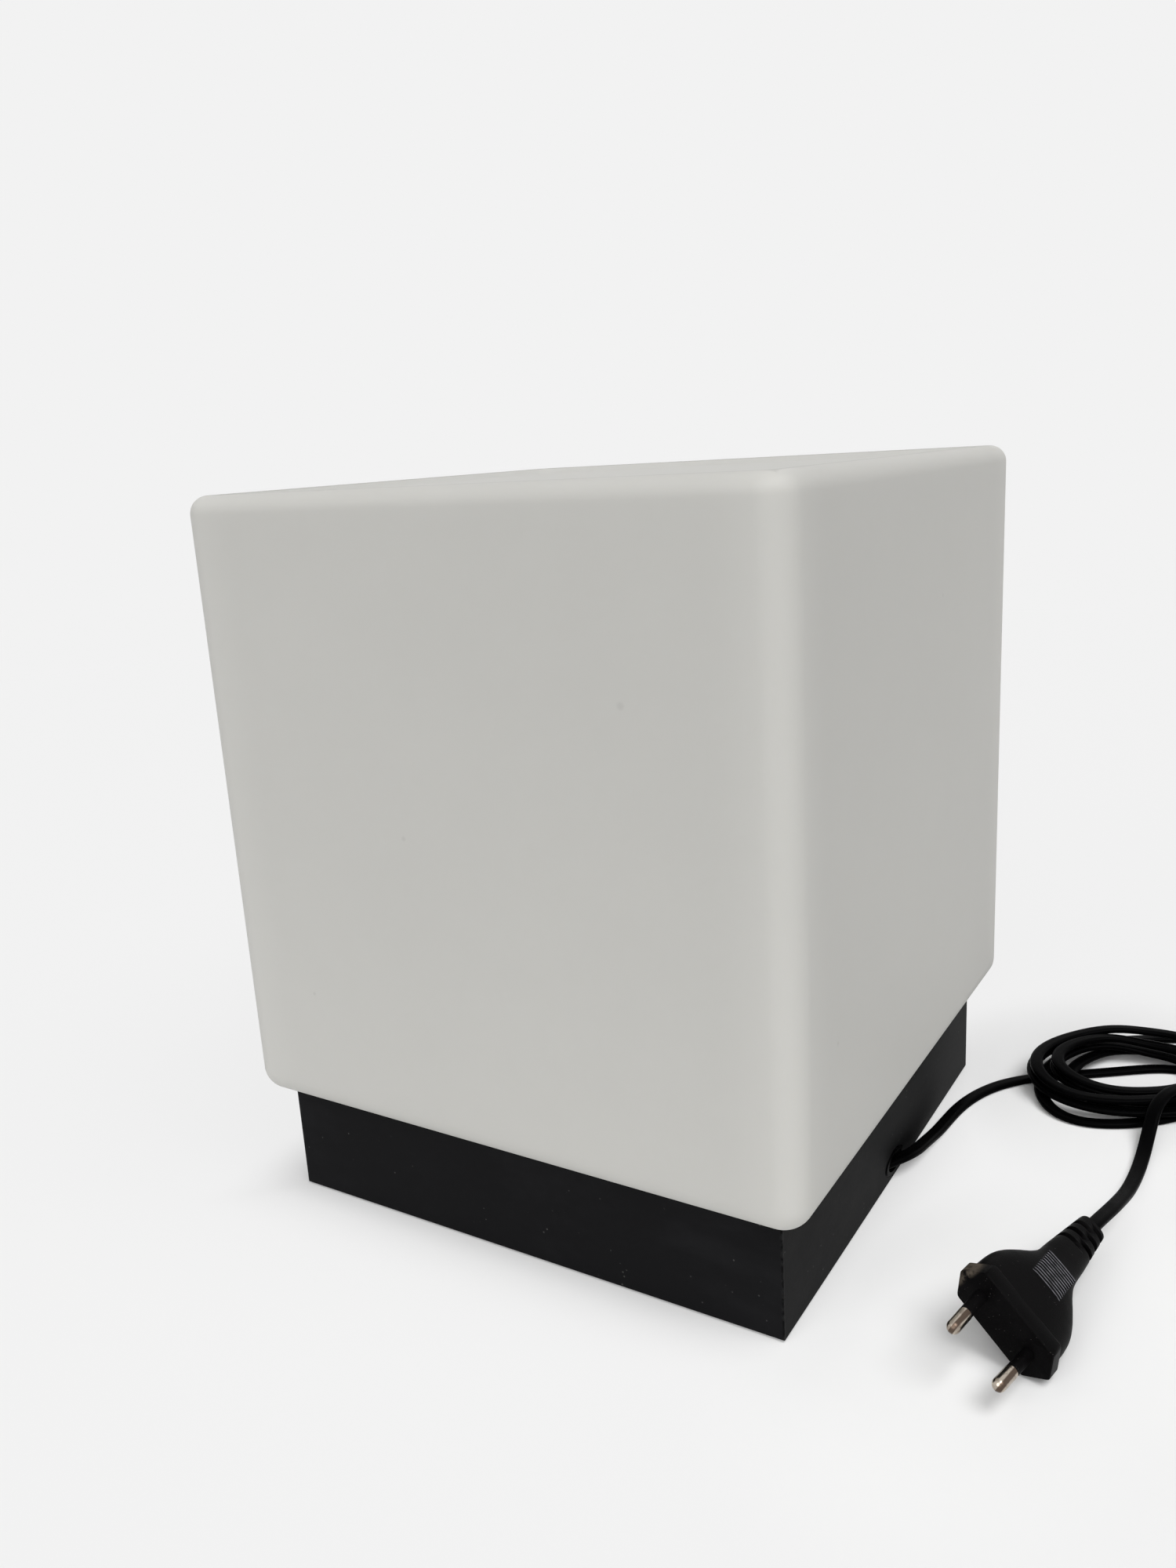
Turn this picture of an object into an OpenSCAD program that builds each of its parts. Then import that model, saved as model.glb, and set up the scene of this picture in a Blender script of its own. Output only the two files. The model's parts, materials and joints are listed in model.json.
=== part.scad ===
// Cube table lamp: a satin opal glass cube on a black plinth, with an E27 holder and bulb inside
// and a flat two-core cord that ends in a flat two-pin plug. Millimetres, +Z up.
// The origin is at the middle of the plinth, on the surface that the lamp stands on.
// The front is -Y; the cord leaves the +X side.

/* [Glass shade] */
// Outside width and depth of the glass cube
shade_w = 210; // [180:1:260]
// Outside height of the glass cube
shade_h = 209.5; // [180:0.5:260]
// Thickness of the glass
glass_t = 3.5; // [3:0.25:5]
// Radius of the four upright edges
upright_r = 9.5; // [7:0.5:14]
// Radius of the edge round the top
top_edge_r = 6; // [5:0.5:7]
// Radius of the edge round the bottom
bottom_edge_r = 9; // [5.5:0.5:9.5]

/* [Plinth] */
// How far the plinth's sides stand in from the glass
plinth_inset = 10; // [6:0.5:13]
// Height of the plinth's side panels
plinth_h = 39.5; // [36:0.5:60]
// Thickness of a side panel
panel_t = 10; // [8:0.5:11]
// Thickness of the top plate
top_t = 8; // [6:0.5:10]
// Thickness of the bottom cover
cover_t = 3; // [2:0.5:4]
// Gap round the bottom cover
cover_gap = 0.3; // [0.2:0.05:0.6]
// Side of a corner block
block_w = 18; // [14:1:22]
// Radius of a foot pad
pad_r = 9; // [6:0.5:11]
// How far the foot pads stand below the plinth
pad_proud = 0.8; // [0.5:0.1:2]
// How deep the foot pads are let into the bottom cover
pad_sunk = 0.7; // [0.4:0.1:1]

/* [Shade seat] */
// Distance from the felt ring to the side panels
seat_margin = 3; // [2:0.5:6]
// How far the glass reaches in from the felt ring to its mouth
mouth_lip = 3; // [2:0.5:6]
// Width of the felt ring
felt_w = 9; // [6:0.5:9]
// Thickness of the felt ring
felt_t = 1.5; // [1.5:0.25:3]
// How deep the felt ring is let into the top plate
felt_sunk = 1.1; // [0.5:0.1:1.4]
// Gap between the collar and the glass mouth
collar_gap = 1.5; // [1:0.25:3]
// Height of the collar that keeps the glass in place
collar_h = 9; // [6:0.5:14]
// Thickness of the collar's sheet metal
collar_t = 1.2; // [0.8:0.1:2]
// Width of the collar's flange
flange_w = 12; // [10:0.5:16]

/* [Lamp holder] */
// Outer radius of the threaded tube
tube_r = 5; // [4.5:0.25:6]
// Wall of the threaded tube
tube_wall = 1.4; // [1:0.1:1.6]
// Length of the threaded tube
tube_len = 34; // [32:1:40]
// How far the threaded tube hangs below the top plate
tube_drop = 8; // [7:0.5:12]
// Clearance of the tube in its nuts and plates
tube_gap = 0.1; // [0.05:0.05:0.3]
// Width of the hexagon nuts across the flats
nut_af = 16; // [14:0.5:20]
// Thickness of a hexagon nut
nut_t = 3; // [2.5:0.25:5]
// Radius of the washers
washer_r = 11; // [10:0.5:16]
// Thickness of a washer
washer_t = 1; // [0.8:0.1:2]
// Outer radius of the holder
holder_r = 22; // [20.5:0.5:26]
// Height of the holder's lower cap
holder_cap_h = 20; // [19:0.5:26]
// Height of the holder's upper shell
holder_shell_h = 33; // [31:0.5:40]
// Wall of the holder's cap and shell
holder_wall = 2.4; // [1.6:0.1:3]
// Radius of the ceramic insert
insert_r = 18; // [17:0.5:18.5]
// Height of the ceramic insert
insert_h = 9; // [7:0.5:10]
// Inside radius of the brass screw sleeve
sleeve_r = 13.4; // [13.35:0.05:13.6]
// Wall of the brass screw sleeve
sleeve_wall = 0.5; // [0.4:0.1:0.8]
// Length of the brass screw sleeve
sleeve_len = 21; // [17:0.5:23]

/* [Bulb] */
// Radius over the crests of the bulb's screw cap
cap_r = 13.1; // [12.9:0.05:13.2]
// Depth of the screw cap's thread
thread_depth = 0.9; // [0.5:0.05:1.1]
// Pitch of the screw cap's thread
thread_pitch = 3.62; // [3.5:0.01:3.7]
// Number of thread crests on the cap
thread_turns = 5; // [4:1:5]
// Largest radius of the bulb's glass
bulb_r = 30; // [24:0.5:45]
// Length of the bulb from its tip to its crown
bulb_len = 106; // [98:1:140]
// Thickness of the bulb's glass
bulb_wall = 1; // [0.6:0.1:1.5]

/* [Cord and plug] */
// Width of the flat cord
cord_w = 4.9; // [4.6:0.1:5]
// Thickness of the flat cord
cord_t = 2.4; // [2.2:0.1:2.5]
// Half the length of the hank's largest loop
loop_long = 51; // [51:0.5:53]
// Half the width of the hank's largest loop
loop_wide = 30.5; // [30.5:0.5:32]
// Turns of the hank
hank_turns = 5.8; // [4.8:1:5.8]
// Width of the plug's front
plug_w = 35.3; // [34:0.1:37]
// Width of the flat top of the plug's front
plug_flat = 26; // [24:0.5:28]
// Thickness of the plug's front
plug_t = 13.7; // [13:0.1:15]
// Depth of the plug's front block
plug_block = 6; // [4:0.5:8]
// Length from the plug's front face to its strain relief
plug_len = 42; // [40:0.5:46]
// Length of the plug's strain relief
relief_len = 20; // [20:0.5:26]
// Radius of a plug pin's bare end
pin_r = 2; // [1.9:0.05:2.4]
// Length of a plug pin
pin_len = 19; // [18:0.1:20]
// Length of the sleeve on a plug pin
pin_sleeve_len = 10; // [8:0.5:11]
// Distance between the plug pins at the front face
pin_gap_root = 18.6; // [18:0.1:19.2]
// Distance between the plug pins at their ends
pin_gap_end = 17.5; // [17:0.1:18.6]

/* [Hidden] */
round_fn = 96;
small_fn = 32;

// Sizes that follow the glass
plinth_w = shade_w - 2 * plinth_inset;
inner_w = plinth_w - 2 * panel_t;
felt_r = inner_w / 2 - seat_margin - felt_w;
mouth_r = felt_r - mouth_lip;

// Levels, from the surface that the lamp stands on
plinth_top = pad_proud + plinth_h;
plate_low = plinth_top - top_t;
cover_top = pad_proud + cover_t;
glass_low = plinth_top + felt_t - felt_sunk;
block_at = inner_w / 2 - block_w / 2;
block_h = plate_low - cover_top;
upper_nut_low = plinth_top + washer_t;
holder_low = upper_nut_low + nut_t;
shell_low = holder_low + holder_cap_h;
insert_low = shell_low - 4;
tip_low = insert_low + insert_h + 1;
cord_top = insert_low - 3.5;
wire_r = 0.8;
terminal_at = 9;
wire_bend = 2.6;

// Screws
pilot_r = 1.3;
cover_screw_r = 1.75;
cover_screw_len = 16;
cover_head_r = 3.4;
cover_head_h = 1.7;
cover_screw_at = block_at + 1;
collar_screw_r = 1.5;
collar_screw_len = 5.5;
collar_head_r = 2.8;
collar_head_h = 1.8;
screw_gap = 0.15;
slot_w = 0.8;
slot_depth = 0.8;
clamp_screw_len = 11;
clamp_side = 8;
clamp_len = 26;
clamp_w = 8;
clamp_h = 5;
clamp_gap = 0.8;

// Bulb proportions
tip_h = 2;
tip_r = 4.6;
insulator_h = 4.5;
insulator_r = 9.5;
cap_low = tip_low + tip_h + insulator_h;
cap_thread_low = cap_low + 1.4;
cap_thread_top = cap_thread_low + thread_turns * thread_pitch;
cap_rim = 4;
cap_top = cap_thread_top + cap_rim;
cap_wall = 0.3;
neck_r = cap_r - thread_depth - cap_wall - 0.1;
bulb_mid = tip_low + bulb_len - bulb_r;
stem_r = 3;
stem_h = 24;
stem_flare_h = 8;
stem_sunk = 5;
glass_sunk = 5;
neck_run = 6.5;
lead_wire_len = 13.2;
lead_wire_r = 0.45;
filament_z = cap_top + 36;
filament_r = 0.35;
filament_ring = 11;

// Cord exit: a sleeve in a slanting hole low in the right panel
exit_slant = 28;
exit_at = [plinth_w / 2, 3, 6.5];
exit_dir = [sin(exit_slant), cos(exit_slant), 0];
exit_r = 3.2;
exit_wall = 0.9;
exit_gap = 0.1;
exit_back = (panel_t + 8.8) / sin(exit_slant);
cord_start = exit_at + 1.2 * exit_dir;

// The whole free cord moves with the right panel; inside, it stays put from the clamp on
clamp_at = [39.5, -31.7];
clamp_turn = 13;
cord_shift = [plinth_w / 2 - 95, 0, 0];
function moved(points) = [for (p = points) p + cord_shift];
function eased(points) = [for (p = points)
    p + cord_shift * min(max((p[0] - clamp_at[0] - 5.5) / 36.5, 0), 1)];

// The cord's route inside the plinth, from the sleeve to the holder
inner_route = eased([[81.5, -22.8, 6.5], [77.3, -28.4, 7.6], [71.5, -32, 10.6], [64.5, -33.5, 15.6],
    [57.5, -33.8, 21.6], [51, -33.6, 27.4], [45, -32.8, 30.4], [39.5, -31.7, 30.7],
    [34, -30, 30.4], [28.5, -27.2, 26.6], [23.4, -23.2, 20], [18, -18, 12.6], [12, -12, 8],
    [7.8, -7.8, 7.2],
    [3.6, -3.6, 9.4], [1, -1, 13.6], [0, 0, 19], [0, 0, 27], [0, 0, 40]]);
inner_turned = [[0, 0, 1], [0.7, -0.7, 0]];

// Heights of the cord: lying on the floor, and on top of the hank's three layers
layer_lift = cord_t + 0.8;
last_lift = cord_t + 0.9;
low_z = cord_t / 2;
high_z = low_z + 2 * layer_lift + last_lift;

// The cord's route from the sleeve to the hank, and from the hank to the plug
lead_route = moved([[99.2, 15, 5.4], [99.6, 22, 4.2], [100, 30, 2.8], [100.6, 38, 1.8],
    [101.2, 48, low_z], [102.4, 58, low_z], [104.8, 68, low_z], [108.6, 77.5, low_z],
    [114, 86, low_z], [121.3, 93.5, low_z], [130, 100, low_z], [139.5, 106.5, low_z],
    [149, 113, low_z], [157.5, 119, low_z], [166, 124, low_z], [174.2, 125.6, low_z],
    [180.6, 123, low_z], [184.2, 118, low_z]]);
tail_route = moved([[187, 127, high_z], [189.4, 119.5, high_z], [188.8, 111.5, high_z],
    [185.6, 104, high_z], [180.8, 97.2, high_z], [176, 90.5, high_z], [172.4, 82.8, high_z],
    [170.4, 74, 9.2], [170, 64, 4.5], [170, 54, 1.9], [170, 44, 1.4], [169.8, 33, 2.1],
    [169.3, 22, 3.8], [168.4, 11, 6.4], [167.2, 1, 8.6]]);

// The hank: loose loops in three layers, no two alike. Each row gives a turn, the centre of the
// loop there, half its length, half its width and its tilt, for the largest loop's usual size
hank_loops = [
    [0, 160.7, 110, 27, 20, 45], [0.5, 162, 110, 32, 21.5, 48], [1, 160.5, 111.5, 39.5, 26, 53],
    [1.25, 162.5, 111.5, 49, 30, 57], [2, 164, 112, 51, 30.5, 57], [2.25, 159, 109.5, 43, 26, 44],
    [2.5, 155, 106.5, 37, 26, 38], [2.75, 155, 105.5, 36, 25, 37],
    [3, 157, 107, 35.4, 23.4, 38], [3.25, 157, 109, 30.5, 20.8, 36],
    [3.5, 156.3, 107.5, 28.5, 20.5, 36], [3.75, 156, 106.3, 27.7, 20, 36],
    [4, 156, 107, 26.9, 19.4, 36], [4.25, 156, 107.5, 27.8, 20, 36],
    [4.5, 156.3, 107.5, 28.5, 20.5, 36], [4.75, 156.3, 106.8, 29.5, 20.8, 36],
    [5, 158, 107.5, 35, 24.5, 39], [5.25, 158, 108, 40, 26, 42],
    [5.5, 156.3, 107, 37.5, 26, 40], [5.8, 156, 106.5, 36, 26, 38]];
usual_long = 51;
usual_wide = 30.5;
coil_start = -15;
climb_at = [2, 4];
climb_turns = 0.16;
end_run = 4.2;
last_turns = 0.3;
ring_steps = 24;
lead_cross = [121, 97] + [cord_shift[0], 0];
lead_heading = 36;
hump_flat = 6;
hump_end = 36;
hump_from = 142 + cord_shift[0];
hump_to = 162 + cord_shift[0];

// Plug pose: lying on one long edge, its pins towards the front
plug_yaw = -100.5;
plug_pitch = 3;
plug_roll = -39.5;
plug_z = (plug_flat / 2 * sin(-plug_roll) + plug_t / 2 * cos(plug_roll)) * cos(plug_pitch)
    + plug_block * sin(plug_pitch);
plug_at = [153, -76, plug_z] + cord_shift;
plug_axis = [cos(plug_pitch) * cos(plug_yaw), cos(plug_pitch) * sin(plug_yaw), sin(plug_pitch)];
relief_end = plug_at - (plug_len + relief_len) * plug_axis;
shank_r = pin_r - 0.52;
pin_sleeve_r = pin_r - 0.1;
pin_sunk = 8;
relief_root = [12.4, 9.8];
relief_tip = [9, 7];

// Small sums on lists and points
function unit(v) = v / norm(v);
function smooth(x) = let(c = min(max(x, 0), 1)) c * c * (3 - 2 * c);
function lerp(a, b, s) = a + (b - a) * s;
function total(list, i = 0, sum = 0) = i >= len(list) ? sum : total(list, i + 1, sum + list[i]);
function length_of(path) = total([for (i = [1:len(path) - 1]) norm(path[i] - path[i - 1])]);

// A smooth curve through points, with even steps between each two of them
function curve_at(a, b, c, d, s) =
    0.5 * (2 * b + (c - a) * s + (2 * a - 5 * b + 4 * c - d) * s * s
    + (3 * b - a - 3 * c + d) * s * s * s);
function smooth_path(points, steps) =
    let(n = len(points) - 1)
    concat([for (i = [0:n - 1]) for (k = [0:steps - 1])
        curve_at(points[max(i - 1, 0)], points[i], points[i + 1], points[min(i + 2, n)], k / steps)],
        [points[n]]);

// Outlines of a flat cord: eight and six sides
function oblong(w, t) = let(k = t / 2 / cos(22.5), s = (w - t) / 2)
    [for (a = [22.5:45:359]) [sign(cos(a)) * s + k * cos(a), k * sin(a)]];
function hexagonal(w, t) = [[w / 2, 0], [w * 0.27, t / 2], [-w * 0.27, t / 2], [-w / 2, 0],
    [-w * 0.27, -t / 2], [w * 0.27, -t / 2]];
function ellipse(w, t, sides) = [for (i = [0:sides - 1]) let(a = 360 * i / sides)
    [sign(cos(a)) * pow(abs(cos(a)), 0.8) * w / 2, sign(sin(a)) * pow(abs(sin(a)), 0.8) * t / 2]];

// Direction of a path at each of its points
function heading(path, i) = unit(path[min(i + 1, len(path) - 1)] - path[max(i - 1, 0)]);

// Points of one ring: the outline set square to the path, its width level with the floor
function ring(at, along, outline, level) =
    let(side = unit(cross(along, level)), up = cross(side, along))
    [for (p = outline) at + p[0] * side + p[1] * up];

// A closed tube along a path; sections holds one outline for each point
module swept(path, sections, levels = [[0, 0, 1]]) {
    n = len(path);
    m = len(sections[0]);
    points = [for (i = [0:n - 1]) each ring(path[i], heading(path, i), sections[i],
        levels[min(i, len(levels) - 1)])];
    walls = [for (i = [0:n - 2]) for (j = [0:m - 1]) each
        [[i * m + j, i * m + (j + 1) % m, (i + 1) * m + j],
        [i * m + (j + 1) % m, (i + 1) * m + (j + 1) % m, (i + 1) * m + j]]];
    first = [for (j = [1:m - 2]) [0, j + 1, j]];
    last = [for (j = [1:m - 2]) [(n - 1) * m, (n - 1) * m + j, (n - 1) * m + j + 1]];
    polyhedron(points, concat(first, walls, last), convexity = 10);
}

// The coil's centreline
function hump(x, y) =
    let(away = abs((y - lead_cross[1]) * cos(lead_heading) - (x - lead_cross[0]) * sin(lead_heading)))
    layer_lift * (1 - smooth((away - hump_flat) / (hump_end - hump_flat)))
    * (1 - smooth((x - hump_from) / (hump_to - hump_from)));
function loop_at(t, column) = lookup(t, [for (row = hank_loops) [row[0], row[column]]]);
function climbed(t, at) = smooth((t - at + climb_turns) / (2 * climb_turns));
function coil_point(t) =
    let(tilt = loop_at(t, 5),
        angle = coil_start - 360 * t - tilt,
        u = loop_at(t, 3) * loop_long / usual_long * cos(angle),
        v = loop_at(t, 4) * loop_wide / usual_wide * sin(angle),
        x = loop_at(t, 1) + cord_shift[0] + u * cos(tilt) - v * sin(tilt),
        y = loop_at(t, 2) + u * sin(tilt) + v * cos(tilt),
        raised = climbed(t, climb_at[0]) + climbed(t, climb_at[1]),
        rising = smooth((t - hank_turns + last_turns) / last_turns / 0.86))
    [x, y, low_z + layer_lift * raised + last_lift * rising + hump(x, y)];
coil_steps = round(hank_turns * ring_steps);
coil_core = [for (i = [0:coil_steps]) coil_point(hank_turns * i / coil_steps)];
coil_in = unit(coil_point(0.001) - coil_point(0));
coil_out = unit(coil_point(hank_turns) - coil_point(hank_turns - 0.001));
coil_first = coil_core[0] - end_run * coil_in;
coil_last = coil_core[coil_steps] + end_run * coil_out;
coil_path = concat([coil_first], coil_core, [coil_last]);

lead_end = coil_first - end_run / 2 * coil_in;
tail_start = coil_last + end_run / 2 * coil_out;
lead_path = concat([cord_start],
    smooth_path(concat([cord_start + cord_w * exit_dir], lead_route, [lead_end]), 2), [coil_first]);
tail_path = concat([coil_last],
    smooth_path(concat([tail_start], tail_route, [relief_end - cord_w * plug_axis]), 2),
    [relief_end]);
inner_path = concat([cord_start],
    smooth_path(concat([cord_start - cord_w * exit_dir, exit_at - 12 * exit_dir,
        exit_at - 22 * exit_dir], inner_route, [[0, 0, cord_top - cord_w], [0, 0, cord_top]]), 2));
inner_levels = [for (i = [0:len(inner_path) - 1])
    lerp(inner_turned[0], inner_turned[1], smooth((12 - inner_path[i][0]) / 12))];

// Least gap between two stretches of cord, from points along both; skip leaves out near ones
function between(a, b) = norm([max(norm([a[0] - b[0], a[1] - b[1]]) - (cord_w - cord_t), 0),
    a[2] - b[2]]) - cord_t;
function halved(path) = [for (i = [0:len(path) - 2]) each [path[i], (path[i] + path[i + 1]) / 2]];
function least_self(path, skip) = min([for (i = [0:len(path) - 1 - skip])
    min([for (j = [i + skip:len(path) - 1]) between(path[i], path[j])])]);
function least_two(one, other) = min([for (a = one) min([for (b = other) between(a, b)])]);
function from(list, a, b) = [for (i = [a:b]) list[i]];
echo(coil_gap = least_self(halved(coil_path), 16));
echo(lead_to_coil = least_two(from(halved(lead_path), 0, 2 * len(lead_path) - 8),
    from(coil_path, 6, len(coil_path) - 1)));
echo(tail_to_coil = least_two(from(halved(tail_path), 6, 2 * len(tail_path) - 3),
    from(coil_path, 0, len(coil_path) - 8)));
echo(cord_length = [length_of(lead_path), length_of(coil_path), length_of(tail_path)],
    inner = length_of(inner_path));
echo(ends = [coil_first, coil_last, relief_end]);

// A box with round upright edges and other radii round its top and bottom, standing on z = 0
module rounded_box(w, h, side_r, top_r, low_r) {
    module profile(half) {
        translate([-half, low_r]) square([2 * half, h - low_r - top_r]);
        translate([-half + top_r, h - top_r]) square([2 * (half - top_r), top_r]);
        translate([-half + low_r, 0]) square([2 * (half - low_r), low_r]);
        for (s = [-1, 1]) {
            translate([s * (half - top_r), h - top_r]) circle(top_r, $fn = round_fn);
            translate([s * (half - low_r), low_r]) circle(low_r, $fn = round_fn);
        }
    }
    module bar() {
        translate([0, w / 2 - side_r, 0]) rotate([90, 0, 0])
            linear_extrude(w - 2 * side_r) profile(w / 2);
    }
    bar();
    rotate(90) bar();
    for (x = [-1, 1], y = [-1, 1])
        translate([x * (w / 2 - side_r), y * (w / 2 - side_r), 0])
            rotate_extrude($fn = round_fn) intersection() {
                profile(side_r);
                square([side_r, h]);
            }
}

// A pipe standing on z = 0
module pipe(r_out, r_in, h, fn = round_fn) {
    difference() {
        cylinder(r = r_out, h = h, $fn = fn);
        translate([0, 0, -1]) cylinder(r = r_in, h = h + 2, $fn = fn);
    }
}

// A hexagon nut or washer bore for the threaded tube
module tube_bore(low, high) {
    translate([0, 0, low - 1]) cylinder(r = tube_r + tube_gap, h = high - low + 2, $fn = round_fn);
}

// A slotted screw with a countersunk or flat head, its head's top at z = 0, pointing down
module screw(shank_r, len, head_r, head_h, sunk) {
    difference() {
        union() {
            translate([0, 0, -head_h])
                cylinder(r1 = sunk ? shank_r : head_r, r2 = head_r, h = head_h, $fn = small_fn);
            translate([0, 0, -len]) cylinder(r = shank_r, h = len - head_h / 2, $fn = small_fn);
        }
        translate([-head_r - 1, -slot_w / 2, -slot_depth]) cube([2 * head_r + 2, slot_w, slot_depth + 1]);
    }
}

module at_cover_screws() {
    for (x = [-1, 1], y = [-1, 1]) translate([x * cover_screw_at, y * cover_screw_at, 0]) children();
}

module at_collar_screws() {
    for (a = [30, 150, 270]) rotate(a)
        translate([mouth_r - collar_gap - flange_w / 2 - 1, 0, 0]) children();
}

module at_clamp_screws() {
    for (s = [-1, 1]) translate(clamp_at) rotate(clamp_turn) translate([0, s * clamp_side, 0])
        children();
}

// Glass

module glass_shade() {
    color([0.93, 0.93, 0.9])
    translate([0, 0, glass_low]) difference() {
        rounded_box(shade_w, shade_h, upright_r, top_edge_r, bottom_edge_r);
        translate([0, 0, glass_t]) rounded_box(shade_w - 2 * glass_t, shade_h - 2 * glass_t,
            upright_r - glass_t, top_edge_r - glass_t, bottom_edge_r - glass_t);
        translate([0, 0, -1]) cylinder(r = mouth_r, h = glass_t + 2, $fn = round_fn);
    }
}

// Plinth

// One mitred side panel, on the -Y side
module panel() {
    half = plinth_w / 2;
    translate([0, 0, pad_proud]) linear_extrude(plinth_h)
        polygon([[-half, -half], [half, -half], [half - panel_t, panel_t - half],
            [panel_t - half, panel_t - half]]);
}

module front_panel() {
    color([0.09, 0.09, 0.1]) panel();
}

module right_panel() {
    color([0.1, 0.1, 0.11]) difference() {
        rotate(90) panel();
        along_exit(exit_back) cylinder(r = exit_r + exit_wall + exit_gap, h = 1.5 * exit_back,
            $fn = round_fn);
    }
}

module rear_panel() {
    color([0.09, 0.09, 0.1]) rotate(180) panel();
}

module left_panel() {
    color([0.1, 0.1, 0.11]) rotate(270) panel();
}

module top_plate() {
    color([0.16, 0.15, 0.14]) difference() {
        translate([-inner_w / 2, -inner_w / 2, plate_low]) cube([inner_w, inner_w, top_t]);
        tube_bore(plate_low, plinth_top);
        translate([0, 0, plinth_top - felt_sunk]) pipe(felt_r + felt_w, felt_r, felt_sunk + 1);
        at_collar_screws() translate([0, 0, plinth_top - collar_screw_len])
            cylinder(r = collar_screw_r + screw_gap, h = top_t, $fn = small_fn);
        at_clamp_screws() translate([0, 0, plate_low - 1])
            cylinder(r = collar_screw_r + screw_gap, h = 5, $fn = small_fn);
    }
}

module corner_blocks() {
    color([0.72, 0.58, 0.38]) for (x = [-1, 1], y = [-1, 1]) difference() {
        translate([x * block_at - block_w / 2, y * block_at - block_w / 2, cover_top])
            cube([block_w, block_w, block_h]);
        translate([x * cover_screw_at, y * cover_screw_at, cover_top - 1])
            cylinder(r = cover_screw_r + screw_gap, h = cover_screw_len, $fn = small_fn);
    }
}

module bottom_cover() {
    side = inner_w - 2 * cover_gap;
    color([0.35, 0.25, 0.16]) difference() {
        translate([-side / 2, -side / 2, pad_proud]) cube([side, side, cover_t]);
        at_cover_screws() {
            translate([0, 0, pad_proud - 1])
                cylinder(r = cover_screw_r + screw_gap, h = cover_t + 2, $fn = small_fn);
            translate([0, 0, pad_proud - 0.01])
                cylinder(r1 = cover_head_r + screw_gap, r2 = cover_screw_r + screw_gap,
                    h = cover_head_h + screw_gap, $fn = small_fn);
        }
        at_foot_pads() cylinder(r = pad_r + cover_gap, h = pad_proud + pad_sunk, $fn = round_fn);
    }
}

module cover_screws() {
    color([0.75, 0.7, 0.5]) at_cover_screws() translate([0, 0, pad_proud]) mirror([0, 0, 1])
        screw(cover_screw_r, cover_screw_len, cover_head_r, cover_head_h, true);
}

module at_foot_pads() {
    reach = cover_screw_at - pad_r - cover_head_r - 4;
    for (x = [-1, 1], y = [-1, 1]) translate([x * reach, y * reach, 0]) children();
}

module foot_pads() {
    color([0.12, 0.12, 0.12]) at_foot_pads()
        cylinder(r = pad_r, h = pad_proud + pad_sunk, $fn = round_fn);
}

// Seat of the shade

module felt_ring() {
    color([0.15, 0.15, 0.15]) translate([0, 0, plinth_top - felt_sunk])
        pipe(felt_r + felt_w - 0.1, felt_r + 0.1, felt_t);
}

module shade_collar() {
    rim = mouth_r - collar_gap;
    color([0.8, 0.8, 0.78]) difference() {
        union() {
            translate([0, 0, plinth_top]) pipe(rim, rim - collar_t, collar_h);
            translate([0, 0, plinth_top]) pipe(rim - collar_t / 2, rim - flange_w, collar_t);
        }
        at_collar_screws() translate([0, 0, plinth_top - 1])
            cylinder(r = collar_screw_r + screw_gap, h = collar_t + 2, $fn = small_fn);
    }
}

module collar_screws() {
    color([0.78, 0.76, 0.7]) at_collar_screws()
        translate([0, 0, plinth_top + collar_t + collar_head_h])
            screw(collar_screw_r, collar_screw_len + collar_t, collar_head_r, collar_head_h, false);
}

// Holder

module threaded_tube() {
    color([0.8, 0.72, 0.45]) translate([0, 0, plate_low - tube_drop])
        pipe(tube_r, tube_r - tube_wall, tube_len);
}

module nut(low) {
    difference() {
        translate([0, 0, low]) cylinder(d = nut_af / cos(30), h = nut_t, $fn = 6);
        tube_bore(low, low + nut_t);
    }
}

module washer(low) {
    translate([0, 0, low]) pipe(washer_r, tube_r + tube_gap, washer_t);
}

module tube_nuts() {
    color([0.75, 0.75, 0.72]) {
        nut(plate_low - washer_t - nut_t);
        nut(upper_nut_low);
    }
}

module tube_washers() {
    color([0.75, 0.75, 0.72]) {
        washer(plate_low - washer_t);
        washer(plinth_top);
    }
}

module holder_cap() {
    color([0.08, 0.07, 0.07]) translate([0, 0, holder_low]) difference() {
        rotate_extrude($fn = round_fn) polygon([[0, 0], [9, 0], [10, 1], [10, 3.5], [holder_r - 3, 8],
            [holder_r - 0.5, 12], [holder_r - 0.5, holder_cap_h], [0, holder_cap_h]]);
        translate([0, 0, 12])
            cylinder(r = holder_r - 0.5 - holder_wall, h = holder_cap_h, $fn = round_fn);
        translate([0, 0, 3.5]) cylinder(r1 = 6, r2 = holder_r - 0.5 - holder_wall, h = 8.5,
            $fn = round_fn);
        translate([0, 0, -1]) cylinder(r = tube_r + tube_gap, h = 8, $fn = round_fn);
    }
}

module holder_shell() {
    color([0.08, 0.07, 0.07]) translate([0, 0, shell_low]) difference() {
        union() {
            cylinder(r = holder_r, h = 7, $fn = round_fn);
            translate([0, 0, 7]) cylinder(r1 = holder_r, r2 = holder_r - 2.2, h = 2.2, $fn = round_fn);
            cylinder(r = holder_r - 2.2, h = holder_shell_h - 2, $fn = round_fn);
            translate([0, 0, holder_shell_h - 2.2])
                cylinder(r = holder_r - 1.2, h = 2.2, $fn = round_fn);
        }
        translate([0, 0, -1]) cylinder(r = insert_r + 0.3, h = insert_h - 2.8, $fn = round_fn);
        translate([0, 0, -1]) cylinder(r = sleeve_r + sleeve_wall + 0.4, h = holder_shell_h + 2,
            $fn = round_fn);
    }
}

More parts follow.
